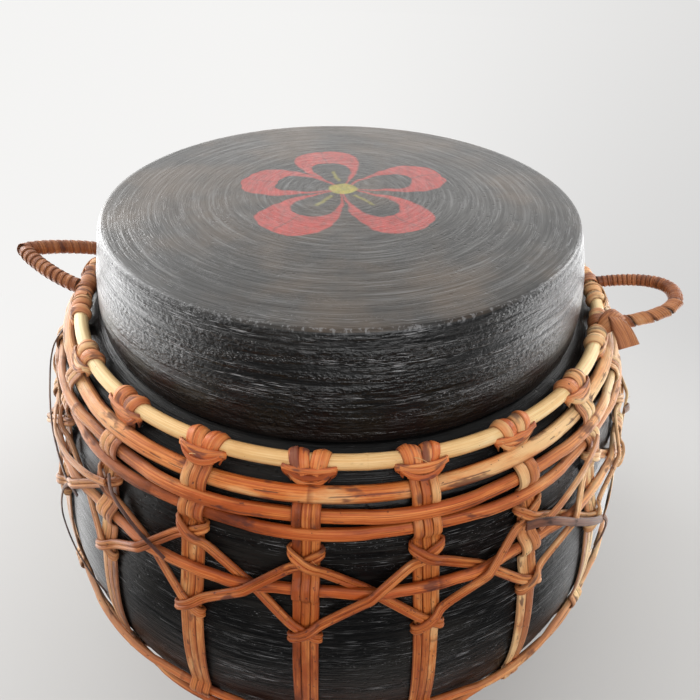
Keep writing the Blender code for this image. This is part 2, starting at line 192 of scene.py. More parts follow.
def jar_outline():
    """The outer wall from the edge of the lid's seat down to the foot, as (radius, height)."""
    edge = np.array([LID_RIM_RADIUS + SEAT_LEDGE, SEAT_HEIGHT])
    corner = np.array([SHOULDER_RADIUS, SEAT_HEIGHT - SHOULDER_DROP])
    lean = SHOULDER_FLARE * math.atan2(BELLY_RADIUS - corner[0], corner[1] - BELLY_HEIGHT)
    wall = np.array([math.sin(lean), -math.cos(lean)])
    shoulder = round_corner(edge, corner, corner + wall, SHOULDER_ROUND, 16)
    belly = np.array([BELLY_RADIUS, BELLY_HEIGHT])
    down = np.array([0.0, -1.0])
    inward = np.array([-math.sin(FOOT_LEAN), -math.cos(FOOT_LEAN)])
    upper = swing(shoulder[-1], wall, belly, down, UPPER_STEPS)
    lower = swing(belly, down, np.array([FOOT_RADIUS, 0.0]), inward, LOWER_STEPS)
    return np.vstack([edge, shoulder, upper, lower])


def lid_radius(depth):
    """The lid's side is a drum that flares downwards, fastest just below its top."""
    flare = np.sin(math.pi / 2 * depth / LID_HEIGHT)
    return LID_TOP_RADIUS + (LID_RIM_RADIUS - LID_TOP_RADIUS) * flare


WALL = jar_outline()
WALL_NORMALS = outline_normals(WALL)
WALL_LENGTHS = lengths_along(WALL)
BELLY_ALONG = float(WALL_LENGTHS[-LOWER_STEPS - 1])
print("the wall is", round(float(WALL_LENGTHS[-1]) / MM), "mm long from the lid's seat to the foot")

# %% [markdown]
# ## Places on the wall
#
# A cane is easiest to describe the way a weaver sees it: at which angle round the jar, how far
# down the wall, and how far off it. One function turns those three numbers into a point and the
# direction that faces straight out of the wall there.

# %% From weaver's measures to points
STAKE_COUNT = 22
FIRST_STAKE = math.radians(-94.5)
PITCH = 2 * math.pi / STAKE_COUNT


def on_jar(angle, along, off):
    """Points on the jar, and the outward direction at each."""
    angle, along, off = np.broadcast_arrays(*(np.asarray(v, float) for v in (angle, along, off)))
    normal_r = np.interp(along, WALL_LENGTHS, WALL_NORMALS[:, 0])
    normal_z = np.interp(along, WALL_LENGTHS, WALL_NORMALS[:, 1])
    radius = np.interp(along, WALL_LENGTHS, WALL[:, 0]) + off * normal_r
    height = np.interp(along, WALL_LENGTHS, WALL[:, 1]) + off * normal_z
    points = np.stack([radius * np.cos(angle), radius * np.sin(angle), height], axis=-1)
    facing = np.stack([normal_r * np.cos(angle), normal_r * np.sin(angle), normal_z], axis=-1)
    return points, facing


def wall_radius(along):
    return np.interp(along, WALL_LENGTHS, WALL[:, 0])


def stake_angle(k):
    return FIRST_STAKE + k * PITCH


def sideways(angle):
    """The level direction that runs round the jar at an angle."""
    return np.stack([-np.sin(angle), np.cos(angle), np.zeros_like(angle)], axis=-1)


def swung(first, second, turn):
    """A direction turned by an angle from the first one towards the second."""
    turn = np.asarray(turn)[:, None]
    return first * np.cos(turn) + second * np.sin(turn)


def ripple(t, seed, waves=(1, 2, 3, 5)):
    """A smooth wandering value from -1 to 1 that closes on itself as t goes from 0 to 1."""
    dice = np.random.default_rng(seed)
    total = np.zeros_like(np.asarray(t, float))
    for wave in waves:
        height = dice.uniform(0.4, 1) / wave ** 0.5
        total += height * np.sin(2 * math.pi * (wave * t + dice.random()))
    return total / 1.8


print("stakes stand", round(PITCH * wall_radius(0.03) / MM, 1), "mm apart at the rim")

# %% [markdown]
# ## Shorthand for node trees
#
# Every tree below is made of small steps: multiply two values, measure a length, read a noise.
# Each step is a node, and by hand it takes four lines to add it, set it up, fill its sockets and
# link it. One function does all four, for shaders and for geometry. The rest name the steps that
# come back most, so that a formula still reads like one.

# %% Helpers for building node trees
def node(tree, kind, sockets=None, **settings):
    """Adds a node. Each socket takes a value, or another node's output."""
    made = tree.nodes.new(kind)
    for name, value in settings.items():
        setattr(made, name, value)
    for key, value in (sockets or {}).items():
        if isinstance(value, bpy.types.NodeSocket):
            tree.links.new(value, made.inputs[key])
        else:
            made.inputs[key].default_value = value
    return made


def calc(tree, operation, *values, clamp=False):
    sockets = dict(enumerate(values))
    return node(tree, "ShaderNodeMath", sockets, operation=operation, use_clamp=clamp).outputs[0]


def times(tree, first, second):
    return calc(tree, "MULTIPLY", first, second)


def plus(tree, first, second):
    return calc(tree, "ADD", first, second)


def less(tree, first, second):
    return calc(tree, "SUBTRACT", first, second)


def higher(tree, first, second):
    return calc(tree, "MAXIMUM", first, second)


def size_of(tree, value):
    return calc(tree, "ABSOLUTE", value)


def sloped(tree, value, slope, start):
    """The value times the slope, on top of the start."""
    return calc(tree, "MULTIPLY_ADD", value, slope, start)


def vector_calc(tree, operation, *values):
    return node(tree, "ShaderNodeVectorMath", dict(enumerate(values)), operation=operation)


def length_of(tree, vector):
    return vector_calc(tree, "LENGTH", vector).outputs["Value"]


def unit_of(tree, vector):
    return vector_calc(tree, "NORMALIZE", vector).outputs[0]


def dot_of(tree, first, second):
    return vector_calc(tree, "DOT_PRODUCT", first, second).outputs["Value"]


def split_xyz(tree, vector):
    return node(tree, "ShaderNodeSeparateXYZ", {0: vector}).outputs


def join_xyz(tree, x=0.0, y=0.0, z=0.0):
    return node(tree, "ShaderNodeCombineXYZ", {0: x, 1: y, 2: z}).outputs[0]


def new_group(name, kind, inputs, outputs):
    """An empty node group with its named inputs and outputs."""
    tree = bpy.data.node_groups.new(name, kind)
    for label, socket, value in inputs:
        made = tree.interface.new_socket(label, in_out="INPUT", socket_type="NodeSocket" + socket)
        if value is not None:
            made.default_value = value
    for label, socket in outputs:
        tree.interface.new_socket(label, in_out="OUTPUT", socket_type="NodeSocket" + socket)
    return tree, tree.nodes.new("NodeGroupInput").outputs, tree.nodes.new("NodeGroupOutput").inputs


def end_tree(tree, shape, finish, result):
    """The last two steps of every geometry tree: real faces, and their material."""
    real = node(tree, "GeometryNodeRealizeInstances", {0: shape}).outputs[0]
    dressed = node(tree, "GeometryNodeSetMaterial", {0: real, "Material": finish})
    tree.links.new(dressed.outputs[0], result[0])


print("one helper adds a node, and the rest name what is done most")

# %% [markdown]
# ## One tree that sweeps every cane
#
# A curve object with a bevel could sweep a cane, but it can't be told which way the flat side
# faces, and it stores nothing for the grain. So each cane starts as a bare line of points that
# carry a facing direction, a breadth, a random number for its colour and a mark where the
# rattan's knuckles are. A Geometry Nodes tree smooths the line, turns its normal to the facing
# direction and sweeps an outline along it. It also keeps the length along the cane and the
# place across it, which the material reads as its grain.

# %% The sweeping tree
def named(tree, name, kind="FLOAT"):
    return node(tree, "GeometryNodeInputNamedAttribute", {"Name": name}, data_type=kind).outputs[0]


def captured(tree, geometry, kind, value):
    """Keeps a value on the points as they are now, for use after the next step."""
    keeper = tree.nodes.new("GeometryNodeCaptureAttribute")
    keeper.capture_items.new(kind, "kept")
    tree.links.new(geometry, keeper.inputs[0])
    tree.links.new(value, keeper.inputs[1])
    return keeper.outputs[0], keeper.outputs[1]


def stored(tree, geometry, name, value, kind="FLOAT"):
    """Stores a value on the mesh under a name, for the material to read."""
    sockets = {0: geometry, "Name": name, "Value": value}
    return node(tree, "GeometryNodeStoreNamedAttribute", sockets, data_type=kind).outputs[0]


def smooth_line(tree, lines, step):
    """Bare lines as smooth curves, with their normals turned to the facing direction."""
    line = node(tree, "GeometryNodeMeshToCurve", {0: lines}).outputs[0]
    line = node(tree, "GeometryNodeCurveSplineType", {0: line}, spline_type="CATMULL_ROM").outputs[0]
    line = node(tree, "GeometryNodeResampleCurve", {0: line, "Length": step}, mode="LENGTH").outputs[0]
    facing = named(tree, "facing", "FLOAT_VECTOR")
    tangent = tree.nodes.new("GeometryNodeInputTangent").outputs[0]
    lean = vector_calc(tree, "PROJECT", facing, tangent).outputs[0]
    square = unit_of(tree, vector_calc(tree, "SUBTRACT", facing, lean).outputs[0])
    return node(tree, "GeometryNodeSetCurveNormal", {0: line, "Normal": square}, mode="FREE").outputs[0]


def make_sweep_tree():
    tree, given, result = new_group(
        "cane_along_path", "GeometryNodeTree",
        [("Lines", "Geometry", None), ("Outline", "Object", None), ("Step", "Float", 2.0 * MM),
         ("Finish", "Material", None)],
        [("Cane", "Geometry")])
    line = smooth_line(tree, given["Lines"], given["Step"])
    length = tree.nodes.new("GeometryNodeSplineParameter").outputs["Length"]
    line, length = captured(tree, line, "FLOAT", length)
    outline = node(tree, "GeometryNodeObjectInfo", {"Object": given["Outline"]}).outputs["Geometry"]
    outline = node(tree, "GeometryNodeMeshToCurve", {0: outline}).outputs[0]
    place = tree.nodes.new("GeometryNodeInputPosition").outputs[0]
    outline, place = captured(tree, outline, "VECTOR", place)
    breadth = named(tree, "breadth")
    cane = node(tree, "GeometryNodeCurveToMesh", {
        "Curve": line, "Profile Curve": outline, "Scale": breadth, "Fill Caps": True}).outputs[0]
    full_size = vector_calc(tree, "SCALE", place)
    tree.links.new(breadth, full_size.inputs["Scale"])
    across = split_xyz(tree, full_size.outputs[0])
    cane = stored(tree, cane, "grain", join_xyz(tree, length, across[1], across[0]), "FLOAT_VECTOR")
    cane = stored(tree, cane, "width", split_xyz(tree, place)[1])
    cane = node(tree, "GeometryNodeSetShadeSmooth", {0: cane}).outputs[0]
    end_tree(tree, cane, given["Finish"], result)
    return tree


SWEEP = make_sweep_tree()
print("sweeping tree:", len(SWEEP.nodes), "nodes")

# %% [markdown]
# ## Outlines of the stock
#
# Rattan comes to the weaver as round rods, as rods split in half, and as flat cane cut from the
# glossy skin. Each is one outline of unit width, which the breadth on the line scales. X points
# out of the wall and Y lies across the cane. The flat cane is crowned on its skin side and
# nearly flat behind, which is what catches a soft line of light along each strand.

# %% Make the outlines
def outline_object(name, corners):
    mesh = bpy.data.meshes.new(name)
    count = len(corners)
    edges = [(k, (k + 1) % count) for k in range(count)]
    mesh.from_pydata([(x, y, 0) for x, y in corners], edges, [])
    made = add_object(name, mesh)
    made.hide_render = True
    return made


def crowned(thickness, fullness, crown_points=9):
    """A skin side like half a squashed circle, and a flat back with its corners eased."""
    turn = np.linspace(math.pi, 0, crown_points)
    skin = [(thickness * (0.8 * math.sin(t) ** fullness - 0.3), 0.5 * math.cos(t)) for t in turn]
    return skin + [(-thickness / 2, 0.42), (-thickness / 2, -0.42)]


def circle(sides):
    turn = np.linspace(0, 2 * math.pi, sides + 1)[:-1]
    return [(0.5 * math.cos(t), -0.5 * math.sin(t)) for t in turn]


def paired(thickness):
    """Two narrow canes that lie side by side and share one back."""
    left = [(x, y / 2 - 0.25) for x, y in crowned(thickness, 0.6, 6)[:6]]
    right = [(x, y / 2 + 0.25) for x, y in crowned(thickness, 0.6, 6)[:6]]
    return left + [(-0.12 * thickness, 0.0)] + right + [(-thickness / 2, 0.44), (-thickness / 2, -0.44)]


FLAT_CANE = outline_object("flat_cane", crowned(0.26, 0.45))
HALF_ROD = outline_object("half_rod", crowned(0.56, 0.8, 10))
ROUND_ROD = outline_object("round_rod", circle(12))
SPLIT_CANE = outline_object("split_cane", paired(0.30))
THIN_STRAP = outline_object("thin_strap", crowned(0.12, 0.4))
OUTLINES = [FLAT_CANE, HALF_ROD, ROUND_ROD, SPLIT_CANE, THIN_STRAP]
print("outlines:", ", ".join(made.name for made in OUTLINES))

# %% [markdown]
# ## Lines that carry values
#
# A weaver takes up one cane at a time, and so does this step. A strand is one cane's points with
# what goes with them: where it faces, how broad it is, how light, and where its knuckles are. The
# strands of a piece become one mesh of bare lines with these values stored on its points, which
# is how a tree gets to know more than a place.

# %% Lines that carry values
def strand(points, facing, breadth, closed=False, knuckles=0.0, tone=0.5):
    """One cane's line, with what the sweeping tree and the rattan finish read from it."""
    count = len(points)
    return {"points": np.asarray(points), "facing": np.asarray(facing), "closed": closed,
            "breadth": np.broadcast_to(breadth, count), "knuckle": np.broadcast_to(knuckles, count),
            "tone": np.clip(np.broadcast_to(tone, count), 0, 1)}


def line_object(name, strands, seed):
    """A mesh of bare lines with the strands' values stored on its points."""
    dice = np.random.default_rng(seed)
    points, edges, dice_of_cane = [], [], []
    for one in strands:
        start, count = len(points), len(one["points"])
        points += [tuple(p) for p in one["points"]]
        edges += [(start + k, start + k + 1) for k in range(count - 1)]
        if one["closed"]:
            edges.append((start + count - 1, start))
        dice_of_cane += [dice.random()] * count
    mesh = bpy.data.meshes.new(name)
    mesh.from_pydata(points, edges, [])
    facing = np.concatenate([one["facing"] for one in strands]).astype(np.float32)
    mesh.attributes.new("facing", "FLOAT_VECTOR", "POINT").data.foreach_set("vector", facing.ravel())
    values = {label: np.concatenate([one[label] for one in strands])
              for label in ("breadth", "knuckle", "tone")}
    values["cane"] = np.array(dice_of_cane)
    for label, numbers in values.items():
        layer = mesh.attributes.new(label, "FLOAT", "POINT")
        layer.data.foreach_set("value", numbers.astype(np.float32))
    return add_object(name, mesh)


print("a strand holds:", ", ".join(strand([(0, 0, 0)], [(0, 0, 1)], 1.0)))

# %% [markdown]
# ## From lines to pieces
#
# The swept result is kept as a plain mesh at the origin: a piece that still hung on its modifier
# and its outline could change or go missing later. Each piece also says which body it rides on and
# which imported pieces it stands for, so that those are left out of the picture.

# %% Turn lines into pieces
SHARP_FROM = math.radians(62)


def give(modifier, **values):
    """Sets a Geometry Nodes modifier's inputs by their socket identifiers."""
    sockets = {item.name: item.identifier for item in modifier.node_group.interface.items_tree
               if item.item_type == "SOCKET" and item.in_out == "INPUT"}
    for name, value in values.items():
        modifier[sockets[name.replace("_", " ")]] = value


def plain(host, name):
    """The evaluated object as a plain mesh at the origin, facing out, in place of its host."""
    graph = bpy.context.evaluated_depsgraph_get()
    mesh = bpy.data.meshes.new_from_object(host.evaluated_get(graph))
    shell = bmesh.new()
    shell.from_mesh(mesh)
    if shell.calc_volume(signed=True) < 0:
        bmesh.ops.reverse_faces(shell, faces=shell.faces)
    shell.to_mesh(mesh)
    shell.free()
    mesh.set_sharp_from_angle(angle=SHARP_FROM)
    bpy.data.objects.remove(host, do_unlink=True)
    mesh.name = name
    return add_object(name, mesh)


def swept(name, strands, outline, finish, seed, step):
    host = line_object(name + "_lines", strands, seed)
    sweep = host.modifiers.new("sweep", "NODES")
    sweep.node_group = SWEEP
    give(sweep, Outline=outline, Step=step, Finish=finish)
    return plain(host, name)


def dress(piece, body, slot, *nodes):
    """Puts a finished piece on its body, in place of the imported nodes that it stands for."""
    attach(piece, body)
    if nodes:
        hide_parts(*nodes)
    return piece


def woven(name, strands, outline, finish, seed, step, *nodes):
    """A swept piece of brown rattan that stays on the jar."""
    piece = swept(name, strands, outline, finish, seed, step)
    return dress(piece, "jar_and_basket", "brown_rattan", *nodes)


# %% [markdown]
# ## Finishes
#
# Two effects run through the whole object, the rattan's skin and the marks of the potter's wheel,
# so each is a shader node group that several finishes share. A picture wrapped round each piece
# would blur close by and show its seams. Here every colour is given as on a paint chart and laid
# on by masks of noise and distance, which stay sharp however near the camera comes.

# %% Colour helpers
def paint(red, green, blue):
    """A colour given as on a paint chart, from 0 to 255, as the linear value that shaders use."""
    chart = [v / 255 for v in (red, green, blue)]
    return (*(v / 12.92 if v < 0.04045 else ((v + 0.055) / 1.055) ** 2.4 for v in chart), 1.0)


def mix(tree, share, first, second):
    return node(tree, "ShaderNodeMix", {0: share, 6: first, 7: second}, data_type="RGBA").outputs[2]


def between(tree, value, low, high):
    """0 below the low value, 1 above the high one, and a soft rise from one to the other."""
    sockets = {0: value, 1: low, 2: high}
    return node(tree, "ShaderNodeMapRange", sockets, interpolation_type="SMOOTHSTEP").outputs[0]


def cloud(tree, place, scale, detail=3.0, roughness=0.5):
    return node(tree, "ShaderNodeTexNoise", {
        "Vector": place, "Scale": scale, "Detail": detail, "Roughness": roughness}).outputs[0]


def stretched(tree, place, stretch, shift=None):
    made = vector_calc(tree, "MULTIPLY", place, stretch).outputs[0]
    return made if shift is None else vector_calc(tree, "ADD", made, shift).outputs[0]


def blank_material(name):
    made = bpy.data.materials.new(name)
    made.use_nodes = True
    return made, made.node_tree, made.node_tree.nodes["Principled BSDF"]


def raised(tree, height, depth, strength):
    bump = node(tree, "ShaderNodeBump", {"Height": height, "Distance": depth, "Strength": strength})
    return bump.outputs[0]


# the grey of bare clay, used for scratches and also for painted glints and an edge highlight
SCRATCH_AND_GLINT_GREY = paint(168, 168, 170)
print("bare clay as shaders read it:", [round(v, 3) for v in SCRATCH_AND_GLINT_GREY[:3]])

# %% [markdown]
# ## The rattan's skin
#
# Rattan is a bundle of fibres with a glossy skin: fine streaks run the length of every cane, age
# and damp leave brownish-purple blotches, and small dark specks sit where the skin is bruised.
# The group reads the grain that the sweeping tree stored, so the streaks bend with the cane round
# every knot. Light and shade are painted in as well: the canes are paler and greyer at the basket's
# sides, lightest at the right, and darker at the back, so the last step reads the place on the jar.

# %% The rattan's skin
LIT_SIDE_SPAN = (0.04, 0.21)
SHADED_BACK_SPAN = (-0.05, 0.15)
SKIN_INPUTS = [
    ("Place", "Vector", None), ("Grain", "Vector", None), ("Tone", "Float", 0.5),
    ("Cane", "Float", 0.5), ("Knuckle", "Float", 0.0), ("Width", "Float", 0.0),
    ("Split", "Float", 0.0), ("Pale", "Color", paint(236, 180, 128)),
    ("Light", "Color", paint(200, 130, 80)), ("Middle", "Color", paint(176, 98, 52)),
    ("Dark", "Color", paint(120, 60, 30)), ("Stain", "Color", paint(90, 50, 45)),
    ("Stained", "Float", 0.3), ("Specked", "Float", 0.3), ("Sidelight", "Float", 1.0)]


def painted_side_light(tree, colour, place, strength):
    """Painted light and shade: paler, greyer sides, lightest at the right, darker at the back."""
    around = split_xyz(tree, place)
    # painted shade: darker towards the back; painted light: paler at the sides, most at the right
    behind = between(tree, around[1], *SHADED_BACK_SPAN)
    sidelight = times(tree, between(tree, size_of(tree, around[0]), *LIT_SIDE_SPAN), strength)
    lit_value = sloped(tree, sloped(tree, around[0], 0.7, 0.17), sidelight, 1.0)
    lit_value = times(tree, lit_value, sloped(tree, behind, -0.2, 1.0))
    lit_grey = higher(tree, times(tree, sidelight, 0.22), times(tree, behind, 0.12))
    return node(tree, "ShaderNodeHueSaturation", {
        "Hue": sloped(tree, higher(tree, sidelight, behind), 0.024, 0.5),
        "Saturation": less(tree, 1.0, lit_grey), "Value": lit_value, "Color": colour}).outputs[0]


def make_rattan_skin():
    tree, given, result = new_group(
        "rattan_skin", "ShaderNodeTree", SKIN_INPUTS,
        [("Colour", "Color"), ("Roughness", "Float"), ("Height", "Float")])
    shift = join_xyz(tree, times(tree, given["Cane"], 37.0), times(tree, given["Cane"], 11.0))

    def grain_noise(stretch, detail, roughness=0.5):
        """Noise in the cane's own grain, from another place for each cane."""
        return cloud(tree, stretched(tree, given["Grain"], stretch, shift), 1.0, detail, roughness)

    def laid(colour, share, strength, label):
        """The colour with one of the given colours laid over a share of it."""
        return mix(tree, times(tree, share, strength), colour, given[label])

    fibre = grain_noise((14, 1300, 900), 3.0)
    thread = grain_noise((40, 3200, 900), 1.0)
    mottle = grain_noise((28, 90, 90), 4.0, 0.6)
    blotch = grain_noise((55, 130, 130), 3.0, 0.55)
    speck = grain_noise((420, 620, 620), 1.0)
    tone = sloped(tree, given["Tone"], 0.7, sloped(tree, mottle, 1.3, -0.5))
    colour = mix(tree, between(tree, tone, 0.0, 0.45), given["Dark"], given["Middle"])
    lit = plus(tree, times(tree, tone, 0.7), times(tree, fibre, 1.1))
    colour = mix(tree, between(tree, lit, 0.72, 1.2), colour, given["Light"])
    # a high tone turns the cane pale tan: partly its own tone, partly painted light from its place on
    # the jar
    pale_tone_and_light = times(tree, between(tree, tone, 0.62, 0.97), 0.9)
    colour = mix(tree, higher(tree, between(tree, lit, 1.15, 1.5), pale_tone_and_light), colour, given["Pale"])
    colour = laid(colour, between(tree, thread, 0.56, 0.75), 0.55, "Dark")
    edge = less(tree, 0.72, times(tree, given["Stained"], 0.3))
    stain = between(tree, blotch, edge, plus(tree, edge, 0.1))
    colour = laid(colour, stain, 0.75, "Stain")
    edge = less(tree, 0.78, times(tree, given["Specked"], 0.14))
    spot = between(tree, speck, edge, 0.78)
    colour = laid(colour, spot, 0.7, "Stain")
    # painted shade: each cane is darker along its edges, where it meets its neighbours
    rim = between(tree, size_of(tree, given["Width"]), 0.34, 0.5)
    colour = laid(colour, rim, 0.55, "Dark")
    wander = sloped(tree, mottle, 0.3, -0.02)
    aside = size_of(tree, less(tree, given["Width"], wander))
    crack = times(tree, between(tree, aside, 0.05, 0.02), between(tree, blotch, 0.5, 0.54))
    crack = times(tree, crack, given["Split"])
    colour = laid(colour, crack, 0.8, "Stain")
    ring = between(tree, given["Knuckle"], 0.35, 0.9)
    colour = laid(colour, ring, 0.8, "Dark")
    tree.links.new(painted_side_light(tree, colour, given["Place"], given["Sidelight"]), result["Colour"])
    rough = sloped(tree, fibre, 0.3, sloped(tree, stain, 0.2, 0.36))
    tree.links.new(rough, result["Roughness"])
    height = plus(tree, times(tree, fibre, 0.8), times(tree, thread, 0.35))
    height = less(tree, height, times(tree, plus(tree, spot, crack), 0.6))
    tree.links.new(plus(tree, height, times(tree, ring, 0.6)), result["Height"])
    return tree


RATTAN_SKIN = make_rattan_skin()
print("rattan skin:", len(RATTAN_SKIN.nodes), "nodes")

# %% [markdown]
# ## Six kinds of rattan
#
# The same plant gives very different canes here. The rim hoop is a fresh, pale, peeled rod. The
# rods below it are orange brown, stained and split along their length. The stakes, the loops over
# the hoop and the strap on the handles each have their own depth of brown, and a few canes are
# old and nearly black. A painted texture for each would repeat the same work six times, so each
# finish is the same skin with its own colours and its own share of stains, specks and splits.

# %% Mix the six rattans
RELIEF_DEPTH = 0.45 * MM
PURPLE_AGE = paint(84, 44, 40)
# pale tan: partly the canes' own tone, partly painted light at the basket's right side
TAN_TONE_AND_LIGHT = paint(240, 192, 134)


def rattan_finish(name, pale, light, middle, dark, stain, stained=0.3, specked=0.3, gloss=0.08,
                  split=0.0, sidelight=1.0):
    made, tree, shader = blank_material(name)
    sockets = {"Place": node(tree, "ShaderNodeTexCoord").outputs["Object"],
               "Grain": node(tree, "ShaderNodeAttribute", attribute_name="grain").outputs["Vector"],
               "Pale": pale, "Light": light, "Middle": middle, "Dark": dark, "Stain": stain,
               "Stained": stained, "Specked": specked, "Split": split, "Sidelight": sidelight}
    for label in ("Tone", "Cane", "Knuckle", "Width"):
        read = node(tree, "ShaderNodeAttribute", attribute_name=label.lower())
        sockets[label] = read.outputs["Fac"]
    skin = node(tree, "ShaderNodeGroup", sockets, node_tree=RATTAN_SKIN).outputs
    tree.links.new(skin["Colour"], shader.inputs["Base Color"])
    tree.links.new(skin["Roughness"], shader.inputs["Roughness"])
    tree.links.new(raised(tree, skin["Height"], RELIEF_DEPTH, 0.9), shader.inputs["Normal"])
    shader.inputs["Specular IOR Level"].default_value = 0.35
    shader.inputs["Coat Weight"].default_value = gloss
    shader.inputs["Coat Roughness"].default_value = 0.3
    return made


HOOP_FINISH = rattan_finish(
    "pale_hoop", paint(255, 232, 186), paint(254, 214, 154), paint(242, 190, 124),
    paint(200, 140, 80), paint(150, 98, 58), stained=0.15, specked=0.15, gloss=0.2)
ROD_FINISH = rattan_finish(
    "brown_rod", TAN_TONE_AND_LIGHT, paint(232, 138, 66), paint(192, 88, 30), paint(112, 46, 14),
    PURPLE_AGE, stained=0.5, specked=0.3, split=0.8)
STAKE_FINISH = rattan_finish(
    "stake_cane", TAN_TONE_AND_LIGHT, paint(222, 134, 66), paint(172, 78, 26), paint(92, 38, 12),
    PURPLE_AGE, stained=0.4, specked=0.9)
LOOP_FINISH = rattan_finish(
    "loop_cane", TAN_TONE_AND_LIGHT, paint(240, 152, 86), paint(212, 106, 50), paint(138, 60, 28),
    paint(92, 54, 56), stained=0.7, specked=0.3, sidelight=0.7)
OLD_FINISH = rattan_finish(
    "old_dark_cane", paint(150, 96, 70), paint(128, 72, 52), paint(84, 40, 30),
    paint(46, 22, 20), paint(34, 18, 20), stained=0.6, specked=0.4)
WRAP_FINISH = rattan_finish(
    "handle_strap", paint(228, 168, 114), paint(200, 120, 66), paint(148, 72, 32),
    paint(92, 42, 18), PURPLE_AGE, stained=0.4, specked=0.4, sidelight=0.3)
print("rattan finishes: 6")

# %% [markdown]
# ## Marks of the wheel
#
# The clay was turned on a wheel, and every mark on it runs round the axis: broad streaks of the
# hand, fine scratches, and grit that was dragged along in bands. Glints on that grit are painted
# in too, as pale flecks in bands. So the marks are built from the distance to the axis, the height
# and the way round, and not from a flat texture. Noise that is fine in the first two and slow in
# the third comes out drawn along the turn.

# %% Marks of the wheel
def make_wheel_marks():
    """Streaks, scratches, painted glints, grit and pits that run round the axis of a turned piece."""
    tree, given, result = new_group(
        "wheel_marks", "ShaderNodeTree",
        [("Place", "Vector", None), ("Streaks", "Float", 260.0), ("Scratched", "Float", 0.5)],
        [("Streak", "Float"), ("Brushed", "Float"), ("Scratch and glint", "Float"), ("Grit", "Float"),
         ("Pit", "Float"), ("Cloud", "Float")])
    part = split_xyz(tree, given["Place"])
    flat = join_xyz(tree, part[0], part[1])
    down = less(tree, length_of(tree, flat), part[2])
    way = split_xyz(tree, unit_of(tree, flat))

    def marks(across, around, detail):
        """Noise that is fine across the wheel's turn and drawn out along it."""
        place = join_xyz(tree, times(tree, down, across), times(tree, way[0], around),
                         times(tree, way[1], around))
        return cloud(tree, place, 1.0, detail, 0.55)

    edge = less(tree, 0.77, times(tree, given["Scratched"], 0.22))
    fine = between(tree, marks(2900.0, 15.0, 1.0), edge, plus(tree, edge, 0.06))
    fine = times(tree, fine, between(tree, marks(150.0, 3.0, 3.0), 0.47, 0.6))
    # painted glints: pale flecks in bands, standing in for light caught by the grit
    glint_fleck = marks(1900.0, 120.0, 2.0)
    glint_fleck = between(tree, glint_fleck, plus(tree, edge, 0.03), plus(tree, edge, 0.09))
    glint_fleck = times(tree, glint_fleck, between(tree, marks(120.0, 1.2, 3.0), 0.52, 0.60))
    gritty = sloped(tree, between(tree, marks(130.0, 2.0, 3.0), 0.42, 0.6), 0.75, 0.4)
    patches = cloud(tree, given["Place"], 14.0, 5.0, 0.6)
    cell = node(tree, "ShaderNodeTexVoronoi", {"Vector": given["Place"], "Scale": 190.0})
    hollow = less(tree, 1.0, between(tree, cell.outputs["Distance"], 0.08, 0.24))
    found = {"Streak": marks(given["Streaks"], 2.2, 4.0),
             "Brushed": marks(1000.0, 6.0, 3.0),
             "Scratch and glint": higher(tree, fine, glint_fleck),
             "Grit": times(tree, marks(480.0, 56.0, 2.0), gritty),
             "Pit": times(tree, hollow, between(tree, patches, 0.5, 0.6)),
             "Cloud": patches}
    for label, value in found.items():
        tree.links.new(value, result[label])
    return tree


WHEEL_MARKS = make_wheel_marks()
print("wheel marks:", len(WHEEL_MARKS.nodes), "nodes")

# %% [markdown]
# ## Smoked clay
#
# The clay is fired in smoke, which turns it black right through, so a scratch shows grey clay and
# not red. Where a hand can reach it the potter has rubbed it smooth. The upright side of the lid
# is left gritty, and fine glints are painted on it as pale flecks, which fade out on the lowest part
# of that side, where it stays dark. The pits are painted darker, as painted shade.
# The jar and the lid share one base that lays these marks down by how upright the clay stands,
# how far out it is and how high it is. Each then adds what only it has.

# %% Mix the jar's clay
EDGE_REACH = 16 * MM
CLAY_RELIEF = 0.8 * MM


